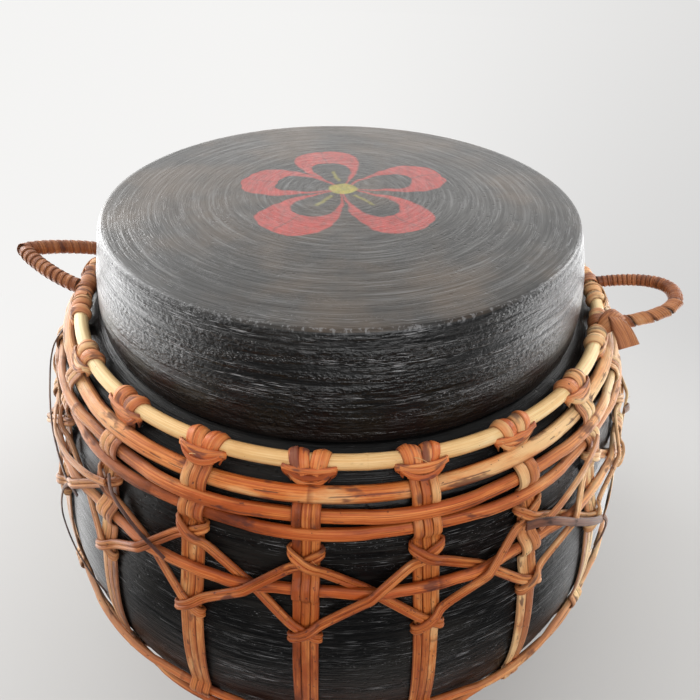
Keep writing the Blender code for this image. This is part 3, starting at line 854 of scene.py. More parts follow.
def clay_base(name, black, worn_colour, streaks, scratched, grit, rubbed, calm):
    """A material with the smoked clay's colour and relief, and the tree to add more to.

    The grit is its height where the clay stands upright; on level clay the potter's rib has
    pressed it flat. Scratches and painted glints show on upright clay and near the rubbed radius,
    and fade out from the higher of the two glint fade heights to the lower.
    """
    made, tree, shader = blank_material(name)
    spots = node(tree, "ShaderNodeTexCoord").outputs
    place = spots["Object"]
    found = node(tree, "ShaderNodeGroup", {
        "Place": place, "Streaks": streaks, "Scratched": scratched}, node_tree=WHEEL_MARKS).outputs
    worn = times(tree, plus(tree, found["Streak"], found["Brushed"]), found["Cloud"])
    upright = between(tree, split_xyz(tree, spots["Normal"])[2], 0.8, 0.4)
    reach = length_of(tree, stretched(tree, place, (1, 1, 0)))
    at_edge = times(tree, between(tree, reach, rubbed - EDGE_REACH, rubbed), 0.6)
    shown = higher(tree, sloped(tree, upright, 0.75, 0.18), at_edge)
    # painted glints and scratches fade out towards the bottom of the lid's side
    glint_rise = between(tree, split_xyz(tree, place)[2], *calm)
    shown = times(tree, shown, sloped(tree, glint_rise, 0.85, 0.15))
    colour = mix(tree, between(tree, worn, 0.42, 0.68), black, worn_colour)
    # grey scratches and painted glints, both in the grey of bare clay
    colour = mix(tree, times(tree, found["Scratch and glint"], shown), colour, SCRATCH_AND_GLINT_GREY)
    # painted shade: the pits are darkened in the colour
    colour = mix(tree, times(tree, found["Pit"], 0.6), colour, paint(8, 8, 9))
    height = times(tree, plus(tree, found["Pit"], found["Scratch and glint"]), -0.4)
    height = sloped(tree, found["Streak"], 0.9, height)
    height = sloped(tree, found["Brushed"], sloped(tree, upright, -0.3, 0.65), height)
    height = sloped(tree, found["Grit"], times(tree, upright, grit), height)
    tree.links.new(sloped(tree, found["Brushed"], 0.35, 0.16), shader.inputs["Roughness"])
    tree.links.new(raised(tree, height, CLAY_RELIEF, 0.7), shader.inputs["Normal"])
    shader.inputs["Coat Roughness"].default_value = 0.38
    return made, tree, shader, place, colour


def jar_finish():
    made, tree, shader, _, colour = clay_base(
        "smoked_jar_clay", paint(11, 11, 12), paint(34, 32, 30), streaks=210.0, scratched=0.66,
        grit=0.7, rubbed=1.0, calm=(-1.0, 0.0))
    shader.inputs["Specular IOR Level"].default_value = 0.25
    tree.links.new(colour, shader.inputs["Base Color"])
    return made


JAR_FINISH = jar_finish()
print("jar's clay:", len(JAR_FINISH.node_tree.nodes), "nodes")

# %% [markdown]
# ## The painted flower
#
# The lid's top carries the only colour on the clay: a five-petalled red flower with a
# yellow-green heart, brushed on by hand. Each petal is a red stroke that goes out from the heart,
# round a bare middle and back, thick at its outer end, and some have a short yellow-green dash. A
# picture would blur close by, so the strokes are worked out from distances: a drop with its point
# at the heart, less a smaller drop, both shaken a little by noise as a hand shakes.

# %% Paint the flower
PETALS = ((104.0, 76), (24.0, 76), (-52.0, 74), (-122.0, 75), (167.0, 70))
DASHED_PETALS = (0, 2, 3)
PETAL_HALF_WIDTH = 23.5 * MM
BARE_HALF_WIDTH = 12.8 * MM
BARE_SHARE = 0.67
DROP_PEAK = 0.61
DASH_HALF_WIDTH = 1.4 * MM
HEART_RADIUS = 9 * MM
FLOWER_MIDDLE = (0.0, 3 * MM, 0.0)
BRUSH_EDGE = 2.4 * MM
SHAKE = 8 * MM


def make_painted_flower():
    tree, given, result = new_group(
        "painted_flower", "ShaderNodeTree", [("Place", "Vector", None)],
        [("Petals", "Float"), ("Yellow", "Float")])
    level = stretched(tree, given["Place"], (1, 1, 0))
    shaky = node(tree, "ShaderNodeTexNoise", {"Vector": level, "Scale": 60.0, "Detail": 2.0})
    shaky = vector_calc(tree, "SUBTRACT", shaky.outputs["Color"], (0.5, 0.5, 0.5)).outputs[0]
    shaken = stretched(tree, shaky, (SHAKE, SHAKE, 0), level)
    middle = vector_calc(tree, "SUBTRACT", shaken, FLOWER_MIDDLE).outputs[0]

    def inside(distance, radius):
        """1 where a distance is less than a radius, with a brush's soft edge."""
        return between(tree, less(tree, distance, radius), BRUSH_EDGE / 2, -BRUSH_EDGE / 2)

    def drop(out, across, start, end, half_width, sharpness):
        """A drop with its point towards the heart and its round end outwards."""
        share = node(tree, "ShaderNodeMapRange", {0: out, 1: start, 2: end}).outputs[0]
        taper = calc(tree, "SQRT", less(tree, 1.0, calc(tree, "POWER", share, 3.0)))
        swell = times(tree, calc(tree, "POWER", share, sharpness), taper)
        return inside(across, times(tree, swell, half_width / DROP_PEAK))

    petals, yellow = 0.0, 0.0
    for k, (way, length) in enumerate(PETALS):
        turn = math.radians(way)
        out = dot_of(tree, middle, (math.cos(turn), math.sin(turn), 0))
        across = size_of(tree, dot_of(tree, middle, (-math.sin(turn), math.cos(turn), 0)))
        whole = drop(out, across, 2 * MM, length * MM, PETAL_HALF_WIDTH, 0.8)
        bare = drop(out, across, 4 * MM, BARE_SHARE * length * MM, BARE_HALF_WIDTH, 0.7)
        stroke = calc(tree, "SUBTRACT", whole, bare, clamp=True)
        stroke = times(tree, stroke, between(tree, out, 3 * MM, 5 * MM))
        petals = higher(tree, petals, stroke)
        if k in DASHED_PETALS:
            begun = between(tree, out, 12 * MM, 14 * MM)
            dash = times(tree, begun, between(tree, out, 34 * MM, 30 * MM))
            yellow = higher(tree, yellow, times(tree, dash, inside(across, DASH_HALF_WIDTH)))
    heart = inside(length_of(tree, middle), HEART_RADIUS)
    bristles = cloud(tree, stretched(tree, level, (260, 130, 1)), 1.0, 4.0, 0.7)
    cover = sloped(tree, between(tree, bristles, 0.3, 0.62), 0.34, 0.5)
    yellow = higher(tree, times(tree, yellow, 0.55), heart)
    tree.links.new(times(tree, petals, cover), result["Petals"])
    tree.links.new(times(tree, yellow, cover), result["Yellow"])
    return tree


PAINTED_FLOWER = make_painted_flower()
print("flower:", len(PETALS), "petals from", len(PAINTED_FLOWER.nodes), "nodes")

# %% [markdown]
# ## The lid's own clay
#
# The lid is handled every day, so it has more on it than the jar: earth left near its rim, a
# brownish bloom on its top, a skin of polish that is thicker in some rings than in others, and a
# broken pale line along its top edge, partly knocked and partly a painted highlight. Pale rings on
# its top are a painted highlight along the turning grooves. All of them are masks of height, radius
# and noise laid over the shared clay. The polish is a coat whose weight follows the rings, so they
# show only where light slides across them, as on the real lid.

# %% Mix the lid's clay
GLAZE_RINGS = 500.0
EARTHY_BELOW = SEAT_HEIGHT + 22 * MM
# heights over which the painted glints fade out on the lid's side
GLINT_FADE_HEIGHTS = (SEAT_HEIGHT + 6 * MM, SEAT_HEIGHT + 32 * MM)
WORN_AND_LIT_RADIUS = LID_TOP_RADIUS - 0.4 * MM


def worn_and_lit_edge(tree, place, height):
    """A broken pale line along the lid's top edge: worn clay, and a painted highlight on the edge."""
    reach = length_of(tree, stretched(tree, place, (1, 1, 0)))
    aside = size_of(tree, less(tree, reach, WORN_AND_LIT_RADIUS))
    broken = cloud(tree, stretched(tree, place, (420, 420, 120)), 1.0, 3.0, 0.6)
    line = times(tree, between(tree, aside, 1.6 * MM, 0.4 * MM), between(tree, broken, 0.5, 0.62))
    return times(tree, line, between(tree, height, LID_TOP - 3 * MM, LID_TOP - 2 * MM))


def lid_finish():
    made, tree, shader, place, colour = clay_base(
        "smoked_lid_clay", paint(9, 9, 10), paint(37, 36, 35), streaks=240.0, scratched=0.84,
        grit=2.4, rubbed=LID_TOP_RADIUS, calm=GLINT_FADE_HEIGHTS)
    height = split_xyz(tree, place)[2]
    on_top = between(tree, height, LID_TOP - 1.5 * MM, LID_TOP - 1.0 * MM)
    earthy = between(tree, height, EARTHY_BELOW, SEAT_HEIGHT)
    colour = mix(tree, times(tree, earthy, 0.75), colour, paint(30, 21, 17))
    bloom = between(tree, cloud(tree, place, 11.0, 5.0, 0.6), 0.42, 0.66)
    colour = mix(tree, times(tree, times(tree, bloom, on_top), 0.75), colour, paint(84, 68, 52))
    rings = node(tree, "ShaderNodeGroup", {"Place": place, "Streaks": GLAZE_RINGS},
                 node_tree=WHEEL_MARKS).outputs
    glaze = times(tree, between(tree, rings["Streak"], 0.42, 0.6), rings["Cloud"])
    tree.links.new(sloped(tree, glaze, 0.55, 0.16), shader.inputs["Coat Weight"])
    # painted highlight: pale arcs along the turning grooves on the lid's top
    groove_highlights = times(tree, between(tree, rings["Streak"], 0.56, 0.7), on_top)
    colour = mix(tree, times(tree, groove_highlights, 0.4), colour, paint(112, 112, 112))
    # worn clay and a painted highlight along the top edge
    worn_and_lit = worn_and_lit_edge(tree, place, height)
    colour = mix(tree, times(tree, worn_and_lit, 0.42), colour, SCRATCH_AND_GLINT_GREY)
    flower = node(tree, "ShaderNodeGroup", {0: place}, node_tree=PAINTED_FLOWER).outputs
    streaky = cloud(tree, stretched(tree, place, (60, 60, 60)), 1.0, 4.0)
    for label, thin, thick in (("Petals", paint(150, 34, 30), paint(206, 68, 58)),
                               ("Yellow", paint(140, 130, 30), paint(196, 188, 70))):
        brushed = mix(tree, streaky, thin, thick)
        colour = mix(tree, times(tree, flower[label], on_top), colour, brushed)
    tree.links.new(colour, shader.inputs["Base Color"])
    return made


LID_FINISH = lid_finish()
print("lid's clay:", len(LID_FINISH.node_tree.nodes), "nodes")

# %% [markdown]
# ## The jar and its lid
#
# Both are turned: an outline carried round an axis, with the slight waver of a hand on a slow
# wheel. The tree lays out a flat grid, reads the outline along one side of it and the angle
# along the other, and adds the waver as soft noise. The seam and the poles are merged, so each
# piece is one closed shell.

# %% The turning tree
def make_turning_tree():
    tree, given, result = new_group(
        "turned_clay", "GeometryNodeTree",
        [("Lines", "Geometry", None), ("Rows", "Int", 100), ("Columns", "Int", 160),
         ("Waver", "Float", 0.0), ("Rings", "Float", 0.0), ("Finish", "Material", None)],
        [("Clay", "Geometry")])
    line = node(tree, "GeometryNodeMeshToCurve", {0: given["Lines"]}).outputs[0]
    grid = node(tree, "GeometryNodeMeshGrid", {
        "Size X": 1.0, "Size Y": 1.0, "Vertices X": given["Columns"], "Vertices Y": given["Rows"]})
    place = split_xyz(tree, tree.nodes.new("GeometryNodeInputPosition").outputs[0])
    sample = node(tree, "GeometryNodeSampleCurve", {
        "Curves": line, "Factor": plus(tree, place[1], 0.5)}, mode="FACTOR", use_all_curves=True)
    found = split_xyz(tree, sample.outputs["Position"])
    turn = times(tree, plus(tree, place[0], 0.5), 2 * math.pi)
    cosine, sine = calc(tree, "COSINE", turn), calc(tree, "SINE", turn)

    def uneven(spot, scale, detail, label):
        """Soft noise from minus a half to a half of a given amount."""
        return times(tree, less(tree, cloud(tree, spot, scale, detail), 0.5), given[label])

    around = join_xyz(tree, cosine, sine, times(tree, found[2], 9.0))
    ridge = join_xyz(tree, times(tree, found[2], 190.0), cosine, sine)
    bumps = plus(tree, uneven(around, 0.8, 1.0, "Waver"), uneven(ridge, 0.7, 2.0, "Rings"))
    ease = between(tree, found[0], 0.0, 50 * MM)
    radius = plus(tree, found[0], times(tree, bumps, ease))
    spot = join_xyz(tree, times(tree, radius, cosine), times(tree, radius, sine), found[2])
    clay = node(tree, "GeometryNodeSetPosition", {0: grid.outputs[0], "Position": spot}).outputs[0]
    clay = node(tree, "GeometryNodeMergeByDistance", {0: clay, "Distance": 0.02 * MM}).outputs[0]
    clay = node(tree, "GeometryNodeSetShadeSmooth", {0: clay}).outputs[0]
    end_tree(tree, clay, given["Finish"], result)
    return tree


TURNING = make_turning_tree()
print("turning tree:", len(TURNING.nodes), "nodes")

# %% [markdown]
# ## Turn the clay
#
# The jar is a shell 10 mm thick with a neck that stands up inside the lid, and the lid is a
# drum with a hollow under it, so both outlines run inside as well as outside. Every corner that
# a wheel and a wet hand would round is rounded here too, because a knife-sharp edge is the first
# thing that gives a computed pot away. The lid has stronger finger ridges than the jar.

# %% The clay pieces
def even(outline, step):
    """The same outline, with its points one step apart."""
    lengths = lengths_along(outline)
    spots = np.linspace(0, lengths[-1], math.ceil(lengths[-1] / step) + 1)
    return read_line(spots, lengths, outline)


def turned(name, outline, finish, step, columns, waver, rings):
    rows = even(np.array(outline), step)
    profile = strand([(r, 0, z) for r, z in rows], np.zeros((len(rows), 3)), 1.0)
    host = line_object(name + "_outline", [profile], 0)
    turning = host.modifiers.new("turn", "NODES")
    turning.node_group = TURNING
    give(turning, Rows=len(rows), Columns=columns + 1, Waver=waver, Rings=rings, Finish=finish)
    return plain(host, name)


def eased(before, corner, after, radius, steps=5):
    before, corner, after = (np.array(place, float) for place in (before, corner, after))
    return list(round_corner(before, corner, after, radius, steps))


NECK_OUTER = float(lid_radius(LID_HEIGHT - NECK_HEIGHT)) - LID_WALL - LID_CLEARANCE
NECK_INNER = NECK_OUTER - NECK_WALL
NECK_TOP = SEAT_HEIGHT + NECK_HEIGHT


def full_jar_outline():
    inside = (WALL - WALL_NORMALS * JAR_WALL)[::-1]
    inside = [p for p in inside if p[0] > NECK_INNER and p[1] > 3 * JAR_WALL]
    floor = JAR_WALL + 2 * MM
    outline = [(0.0, floor), (FOOT_RADIUS - 3 * JAR_WALL, floor)]
    outline += inside
    outline += eased(inside[-1], (NECK_INNER, SEAT_HEIGHT - JAR_WALL), (NECK_INNER, NECK_TOP), 6 * MM)
    outline += eased((NECK_INNER, SEAT_HEIGHT), (NECK_INNER, NECK_TOP), (NECK_OUTER, NECK_TOP), 3.5 * MM)
    outline += eased((NECK_INNER, NECK_TOP), (NECK_OUTER, NECK_TOP), (NECK_OUTER, SEAT_HEIGHT), 3.5 * MM)
    outline += eased((NECK_OUTER, NECK_TOP), (NECK_OUTER, SEAT_HEIGHT), WALL[0], 3 * MM)
    outline += list(WALL[:-1])
    outline += eased(WALL[-3], WALL[-1], (0.0, 0.0), FOOT_ROUND)
    return outline + [(0.0, 0.0)]


def lid_outline():
    rim, ceiling = SEAT_HEIGHT + SEAT_GAP, LID_TOP - LID_WALL
    depths = np.linspace(LID_EDGE_ROUND, LID_HEIGHT, 24)
    side = [(float(lid_radius(depth)), LID_TOP - depth) for depth in depths]
    outline = [(0.0, LID_TOP)]
    outline += eased((0, LID_TOP), (LID_TOP_RADIUS, LID_TOP), side[1], LID_EDGE_ROUND, 8)
    outline += side[1:-1]
    outline += eased(side[-2], side[-1], (0, rim), 2 * MM)
    inner = [(r - LID_WALL, z) for r, z in side[:-3][::-1] if z < ceiling - 4 * MM]
    outline += eased(side[-1], (LID_RIM_RADIUS - LID_WALL, rim), inner[0], 2 * MM)
    outline += inner
    outline += eased(inner[-1], (LID_TOP_RADIUS - LID_WALL, ceiling), (0, ceiling), 5 * MM)
    return outline + [(0.0, ceiling)]


jar = turned("turned_jar", full_jar_outline(), JAR_FINISH, step=3 * MM, columns=168,
             waver=0.8 * MM, rings=0.5 * MM)
dress(jar, "jar_and_basket", "jar_clay", "jar")
lid = turned("turned_lid", lid_outline(), LID_FINISH, step=2 * MM, columns=192,
             waver=0.8 * MM, rings=1.6 * MM)
dress(lid, "lid", "lid_clay", "lid")
for piece in (jar, lid):
    print(piece.name, "has", len(piece.data.polygons), "faces")

# %% [markdown]
# ## The hoops and the rods
#
# A rod is a ring round the jar that passes outside one stake and inside the next, and the rod
# below it does the opposite: plain weave. A real rod is stiff, so it doesn't step in and out but
# swings, and it wanders a little up and down. Both are waves of the angle, so a rod is one line
# of points, and a stake can ask the same function where the rod crosses it.

# %% Measures of the weave
PIECE_GAP = 0.5 * MM
WALL_GAP = 0.6 * MM
CANE_THICKNESS = 1.8 * MM
ROD_FLATNESS = 0.55
RODS = {"rim_rod_1": (21.8 * MM, 8.2 * MM), "rim_rod_2": (30.7 * MM, 7.4 * MM),
        "rim_rod_3": (39.2 * MM, 6.8 * MM), "lattice_rod": (74.5 * MM, 6.4 * MM),
        "belly_rod_1": (BELLY_ALONG - 7 * MM, 6.8 * MM),
        "belly_rod_2": (BELLY_ALONG + 7 * MM, 6.8 * MM)}
ROD_NAMES = list(RODS)
# the top rod's tone is raised partly as a painted highlight; the others differ in their own tone
ROD_TONES_AND_LIGHT = (0.24, -0.06, -0.16, -0.1, 0.0, 0.0)
ROD_WANDER = (1.3 * MM, 1.0 * MM, 1.2 * MM, 0.6 * MM, 0.8 * MM, 0.8 * MM)
RING_POINTS = 720
KNUCKLE_HALF = 1.6 * MM
CROSSING_SWELL = 1.2 * MM
RING_ANGLES = np.linspace(0, 2 * math.pi, RING_POINTS + 1)[:-1]
RING_SHARE = RING_ANGLES / (2 * math.pi)
RING_STEP = 2.2 * MM


def lit_tone(angle):
    """Painted light in the rattan's tone: lightest at the right, less at the left, least in front and
    behind.
    """
    return 0.62 + 0.17 * np.cos(angle) + 0.13 * np.cos(2 * np.asarray(angle))


def rod_along(rod, angle):
    """Where down the wall a rod lies at an angle, with its wander."""
    share = np.asarray(angle) / (2 * math.pi)
    return RODS[ROD_NAMES[rod]][0] + ROD_WANDER[rod] * ripple(share, 40 + rod, (1, 3, 5, 8))


def rod_off(rod, angle):
    """How far a rod's middle stands off the wall: out at every other stake, in at the rest."""
    half = RODS[ROD_NAMES[rod]][1] * ROD_FLATNESS / 2
    behind, front = WALL_GAP + half, WALL_GAP + CANE_THICKNESS + PIECE_GAP + half
    wave = np.cos(math.pi * ((np.asarray(angle) - FIRST_STAKE) / PITCH + rod))
    wave = np.sign(wave) * np.abs(wave) ** 0.6
    return (behind + front) / 2 + (front - behind) / 2 * wave


def knuckle_marks(count, length, seed, spacing=0.28):
    """Rings where the rattan's leaves grew, as a value that rises to 1 at each."""
    dice = np.random.default_rng(seed)
    along = np.linspace(0, length, count)
    marks = np.zeros(count)
    spot = dice.uniform(0, spacing)
    while spot < length:
        marks = np.maximum(marks, np.exp(-((along - spot) / KNUCKLE_HALF) ** 2))
        spot += spacing * dice.uniform(0.7, 1.3)
    return marks


def make_rod(rod):
    name = ROD_NAMES[rod]
    off = rod_off(rod, RING_ANGLES)
    if name == "lattice_rod":
        halfway = np.cos((RING_ANGLES - FIRST_STAKE) / PITCH * math.pi * 2 + math.pi)
        off = off + CROSSING_SWELL * halfway.clip(0)
    points, facing = on_jar(RING_ANGLES, rod_along(rod, RING_ANGLES), off)
    along, thickness = RODS[name]
    marks = knuckle_marks(RING_POINTS, 2 * math.pi * wall_radius(along), 60 + rod)
    breadth = thickness * (1 + 0.05 * ripple(RING_SHARE, 80 + rod, (3, 7, 11)) + 0.08 * marks)
    tone = lit_tone(RING_ANGLES) + ROD_TONES_AND_LIGHT[rod] + 0.25 * ripple(RING_SHARE, 100 + rod, (2, 5, 9))
    ring = strand(points, facing, breadth, closed=True, knuckles=marks, tone=tone)
    return woven("woven_" + name, [ring], HALF_ROD, ROD_FINISH, rod, RING_STEP, name)


rods = [make_rod(rod) for rod in range(len(ROD_NAMES))]
print("rods:", ", ".join(piece.name for piece in rods))

# %% [markdown]
# ## The two hoops
#
# The rim hoop is a pale, peeled rod bent to a ring, which the stakes hook over, and another one
# under the belly holds their lower ends. A torus would be too perfect: a real hoop dips a little,
# swells at its knuckles and is nowhere quite round. So the hoops are strands like the rods, only
# rounder and calmer.

# %% The two hoops
HOOP_THICKNESS = 8 * MM
HOOP_ALONG = 8.5 * MM
HOOP_OFF = 8.41 * MM
FOOT_ALONG = float(WALL_LENGTHS[-1]) - 75 * MM
FOOT_OFF = 7.6 * MM


def make_hoop(name, node_name, along, off, seed):
    points, facing = on_jar(RING_ANGLES, along + 0.25 * MM * ripple(RING_SHARE, seed), off)
    marks = knuckle_marks(RING_POINTS, 2 * math.pi * wall_radius(along), seed + 5, 0.33)
    unevenness = 0.02 * ripple(RING_SHARE, seed + 9, (2, 5, 9))
    breadth = HOOP_THICKNESS * (0.97 + unevenness + 0.04 * marks)
    ring = strand(points, facing, breadth, closed=True, knuckles=marks * 0.5)
    piece = swept(name, [ring], ROUND_ROD, HOOP_FINISH, seed, RING_STEP)
    return dress(piece, "jar_and_basket", "pale_rattan", node_name)


rim_hoop = make_hoop("bent_rim_hoop", "rim_hoop", HOOP_ALONG, HOOP_OFF, 3)
foot_hoop = make_hoop("bent_foot_hoop", "foot_hoop", FOOT_ALONG, FOOT_OFF, 4)
print("hoops:", rim_hoop.name, "and", foot_hoop.name)

# %% [markdown]
# ## The stakes
#
# Each stake is a band of two or three flat canes laid side by side. It rises from the foot hoop,
# goes in and out of the rods, hooks over the rim hoop and comes down again, so at the rim four
# legs lie across the hoop and draw together below it. A few turns of narrow cane bind them there
# in the shape of a smile. The band is the same at every stake except for which rods it passes
# outside, so one path function serves them all, and small random shifts keep them apart.

# %% The path of a stake
LATTICE_TOP = 52.0 * MM
LATTICE_LOW = 98.5 * MM
KNOT_LIFT = 1.4 * MM
STAKE_REST = WALL_GAP + CANE_THICKNESS / 2
STAKE_TOP = 15.4 * MM
TWO_CANE_STAKES = (2, 5, 9, 14, 18)
LEG_START = (11.6 * MM, 12.1 * MM)
LEG_END_UNDER = (18.4 * MM, 2.4 * MM)
LEG_END_OVER = (19.6 * MM, 7.0 * MM)


def rod_in_front(rod, k):
    return (rod + k) % 2 == 0


def leg_off(along, k):
    """The slanting line that a stake's legs take from the rim hoop down to the first rod."""
    end = LEG_END_UNDER if rod_in_front(0, k) else LEG_END_OVER
    share = (along - LEG_START[0]) / (end[0] - LEG_START[0])
    return LEG_START[1] + (end[1] - LEG_START[1]) * share


def stake_off(along, k):
    """How far a stake's middle stands off the wall, lifted where a rod or a knot is behind it."""
    off = np.full_like(along, STAKE_REST)
    for rod, name in enumerate(ROD_NAMES):
        here = float(rod_along(rod, stake_angle(k)))
        width = RODS[name][1]
        if not rod_in_front(rod, k):
            reach = np.abs(along - here) / (width * 1.15)
            swell = np.where(reach < 1, 0.5 + 0.5 * np.cos(math.pi * reach.clip(0, 1) ** 1.6), 0)
            off = np.maximum(off, STAKE_REST + (width * ROD_FLATNESS + PIECE_GAP) * swell)
    for knot in (LATTICE_TOP, LATTICE_LOW):
        off = np.maximum(off, STAKE_REST + KNOT_LIFT * np.exp(-((along - knot) / (7 * MM)) ** 2))
    end = LEG_END_UNDER if rod_in_front(0, k) else LEG_END_OVER
    return np.where(along < end[0], np.maximum(leg_off(along, k) - 0.6 * MM, 0), off)


def around_hoop(angle, along, off, turn, reach, across):
    """Points round a hoop in the plane of a stake. A turn of 0 is downhill, 90 degrees is out."""
    centre, out = on_jar(angle, along, off)
    side = sideways(angle)
    way = swung(np.cross(side, out), out, turn)
    return centre + way * np.asarray(reach)[..., None] + side * np.asarray(across)[..., None], way


stake_lift = [round(float(stake_off(np.array([RODS[name][0]]), 0)[0]) / MM, 1) for name in ROD_NAMES]
print("the first stake's middle is off the wall at the rods, in mm:", stake_lift)

# %% [markdown]
# ## Lay the stakes
#
# The canes of a stake lie side by side and share its path, yet no two are alike: each has its own
# breadth, colour and knuckles, and strays a little sideways and off the jar. Copies of one cane
# would show at once across 22 stakes. So every cane is a strand of its own, drawn with random
# numbers from a seed of its stake, and turned round the foot hoop at its end.

# %% Lay the stakes
def stake_strand(k, across, breadth, dice):
    """One flat cane of a stake, from under the rim binding to the turn round the foot hoop."""
    angle = stake_angle(k)
    along = np.concatenate([np.arange(STAKE_TOP, 22 * MM, 1.2 * MM),
                            np.arange(22.5 * MM, FOOT_ALONG - 6 * MM, 2.4 * MM)])
    shift = across + 0.3 * MM * ripple(along / 0.3, int(dice.integers(1000)), (1, 2, 4))
    lift = 0.12 * MM * np.abs(ripple(along / 0.3, int(dice.integers(1000)), (2, 5)))
    points, facing = on_jar(angle + shift / wall_radius(along), along, stake_off(along, k) + lift)
    turn = np.radians(np.linspace(150, -15, 12))
    reach = HOOP_THICKNESS / 2 + CANE_THICKNESS / 2 + 0.3 * MM
    shift = np.full(len(turn), across)
    bend, bend_way = around_hoop(angle, FOOT_ALONG, FOOT_OFF, turn, reach, shift)
    marks = knuckle_marks(len(points) + len(bend), 0.33, int(dice.integers(1000)), 0.45)
    tone = lit_tone(angle) + dice.uniform(-0.3, 0.3)
    breadth = breadth * dice.uniform(0.95, 1.04)
    facing = np.vstack([facing, bend_way])
    return strand(np.vstack([points, bend]), facing, breadth, knuckles=marks, tone=tone)


def make_stake(k):
    dice = np.random.default_rng(200 + k)
    count = 2 if k in TWO_CANE_STAKES else 3
    spread, breadth = (6.2 * MM, 6.3 * MM) if count == 2 else (4.5 * MM, 4.75 * MM)
    canes = [stake_strand(k, (n - (count - 1) / 2) * spread, breadth, dice) for n in range(count)]
    number = f"stake_{k + 1:02d}"
    return woven("cane_" + number, canes, FLAT_CANE, STAKE_FINISH, 300 + k, 2.0 * MM, number)


stakes = [make_stake(k) for k in range(STAKE_COUNT)]
print(len(stakes), "stakes of", len(stakes[0].data.polygons), "faces each")

# %% [markdown]
# ## The loops over the rim hoop
#
# At each stake four flat canes come up behind the hoop, go over it and slant together onto the
# stake. They are what the eye meets first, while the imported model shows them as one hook. Each
# loop is an arc in the stake's own plane with a sideways shift that shrinks on the way down. It
# leans on its neighbour, so that the four overlap as the real ones do.

# %% The loops over the rim hoop
LOOP_BREADTH = 5.1 * MM
LOOP_TOP = (-8.3, -3.4, 3.4, 8.3)
LOOP_BOTTOM = (-6.2, -2.2, 2.2, 6.2)
LOOP_END = (-5.0, -1.7, 1.7, 5.0)
LOOP_LEAN = (-0.42, 0.25, -0.25, 0.42)
LOOP_LIFT = (0.4, 0.75, 0.75, 0.4)


def rim_loop(k, n, dice):
    """A cane that starts behind the rim hoop, goes over it slantwise and down onto the stake."""
    angle = stake_angle(k)
    slack = dice.uniform(0.0, 0.6) * MM
    turn = np.radians(np.linspace(265, 50, 16))
    share = np.linspace(0, 1, 16)
    reach = HOOP_THICKNESS / 2 + 0.8 * MM + slack * np.sin(math.pi * share)
    shift = dice.uniform(-0.5, 0.5, 3) * MM
    top, bottom = LOOP_TOP[n] * MM + shift[0], LOOP_BOTTOM[n] * MM + shift[1]
    across = top * (1 - share ** 2) + bottom * share ** 2
    over, over_way = around_hoop(angle, HOOP_ALONG, HOOP_OFF, turn, reach, across)
    side = sideways(angle)
    over_way = over_way + side * LOOP_LEAN[n]
    along = np.linspace(13.4 * MM, 17.6 * MM, 4)
    share = np.linspace(0.3, 1, 4)
    spot = LOOP_BOTTOM[n] * MM * (1 - share) + LOOP_END[n] * MM * share + shift[1]
    off = leg_off(along, k) + LOOP_LIFT[n] * MM
    leg, leg_way = on_jar(angle + spot / wall_radius(along), along, off)
    tone = lit_tone(angle) + dice.uniform(-0.18, 0.35)
    facing = np.vstack([over_way, leg_way + side * LOOP_LEAN[n] * 0.6])
    breadth = LOOP_BREADTH * dice.uniform(0.94, 1.08)
    return strand(np.vstack([over, leg]), facing, breadth, tone=tone)


def make_loops():
    dice = np.random.default_rng(17)
    canes = [rim_loop(k, n, dice) for k in range(STAKE_COUNT) for n in range(4)]
    return woven("rim_loops", canes, FLAT_CANE, LOOP_FINISH, 18, 1.4 * MM)


loops = make_loops()
print("loops:", len(loops.data.polygons), "faces")

# %% [markdown]
# ## The bindings below the rim
#
# Three turns of narrow cane tie the legs of each stake together, tight round its edges and
# sagging in front. A closed ring would have to pass through the wall, where no one can see it.
# Each turn is therefore an arc, open behind, whose ends dive in between the stake and the jar.

# %% The bindings below the rim
BINDING_TURNS = ((12.0, 12.2, 1.5), (11.5, 12.6, 3.4), (10.2, 13.4, 5.2))
BINDING_BREADTH = 3.2 * MM
BINDING_DEPTH = 4.2 * MM


def binding_turn(k, n, dice):
    """One turn of narrow cane round a stake's legs: its ends high, its middle low, like a smile."""
    angle = stake_angle(k)
    half, top, sag = (v * MM for v in BINDING_TURNS[n])
    half += dice.uniform(-0.5, 0.5) * MM
    round_way = np.radians(np.linspace(-125, 125, 25))
    across = half * np.sin(round_way)
    along = top + sag * (1 - (across / half) ** 2) ** 0.8 + dice.uniform(-0.3, 0.3) * MM
    front = leg_off(along, k) + 2.3 * MM + 0.25 * MM * n
    bend = np.sign(np.cos(round_way)) * np.abs(np.cos(round_way)) ** 0.7
    off = front - BINDING_DEPTH + BINDING_DEPTH * bend
    points, facing = on_jar(angle + across / wall_radius(along), along, off)
    side = sideways(angle)
    slant = facing * 0.78 + np.cross(side, facing) * 0.62
    facing = swung(slant, side, round_way)
    tone = lit_tone(angle) + dice.uniform(-0.15, 0.35)
    return strand(points, facing, BINDING_BREADTH * dice.uniform(0.92, 1.08), tone=tone)


def make_bindings():
    dice = np.random.default_rng(27)
    count = len(BINDING_TURNS)
    turns = [binding_turn(k, n, dice) for k in range(STAKE_COUNT) for n in range(count)]
    return woven("rim_bindings", turns, FLAT_CANE, LOOP_FINISH, 28, 1.2 * MM)


bindings = make_bindings()
print("bindings:", len(bindings.data.polygons), "faces")

# %% [markdown]
# ## The knotted lattice
#
# Below the rods a pair of narrow canes runs slantwise from stake to stake. At each stake it is
# knotted like a ribbon: it crosses the front going up, turns behind the stake and comes out to
# cross over itself going down. Between stakes it crosses its partner at the lattice rod. The knot
# is one short list of places beside the stake, turned over for the low knots, and the sweep
# keeps the canes flat on the wall through every bend.

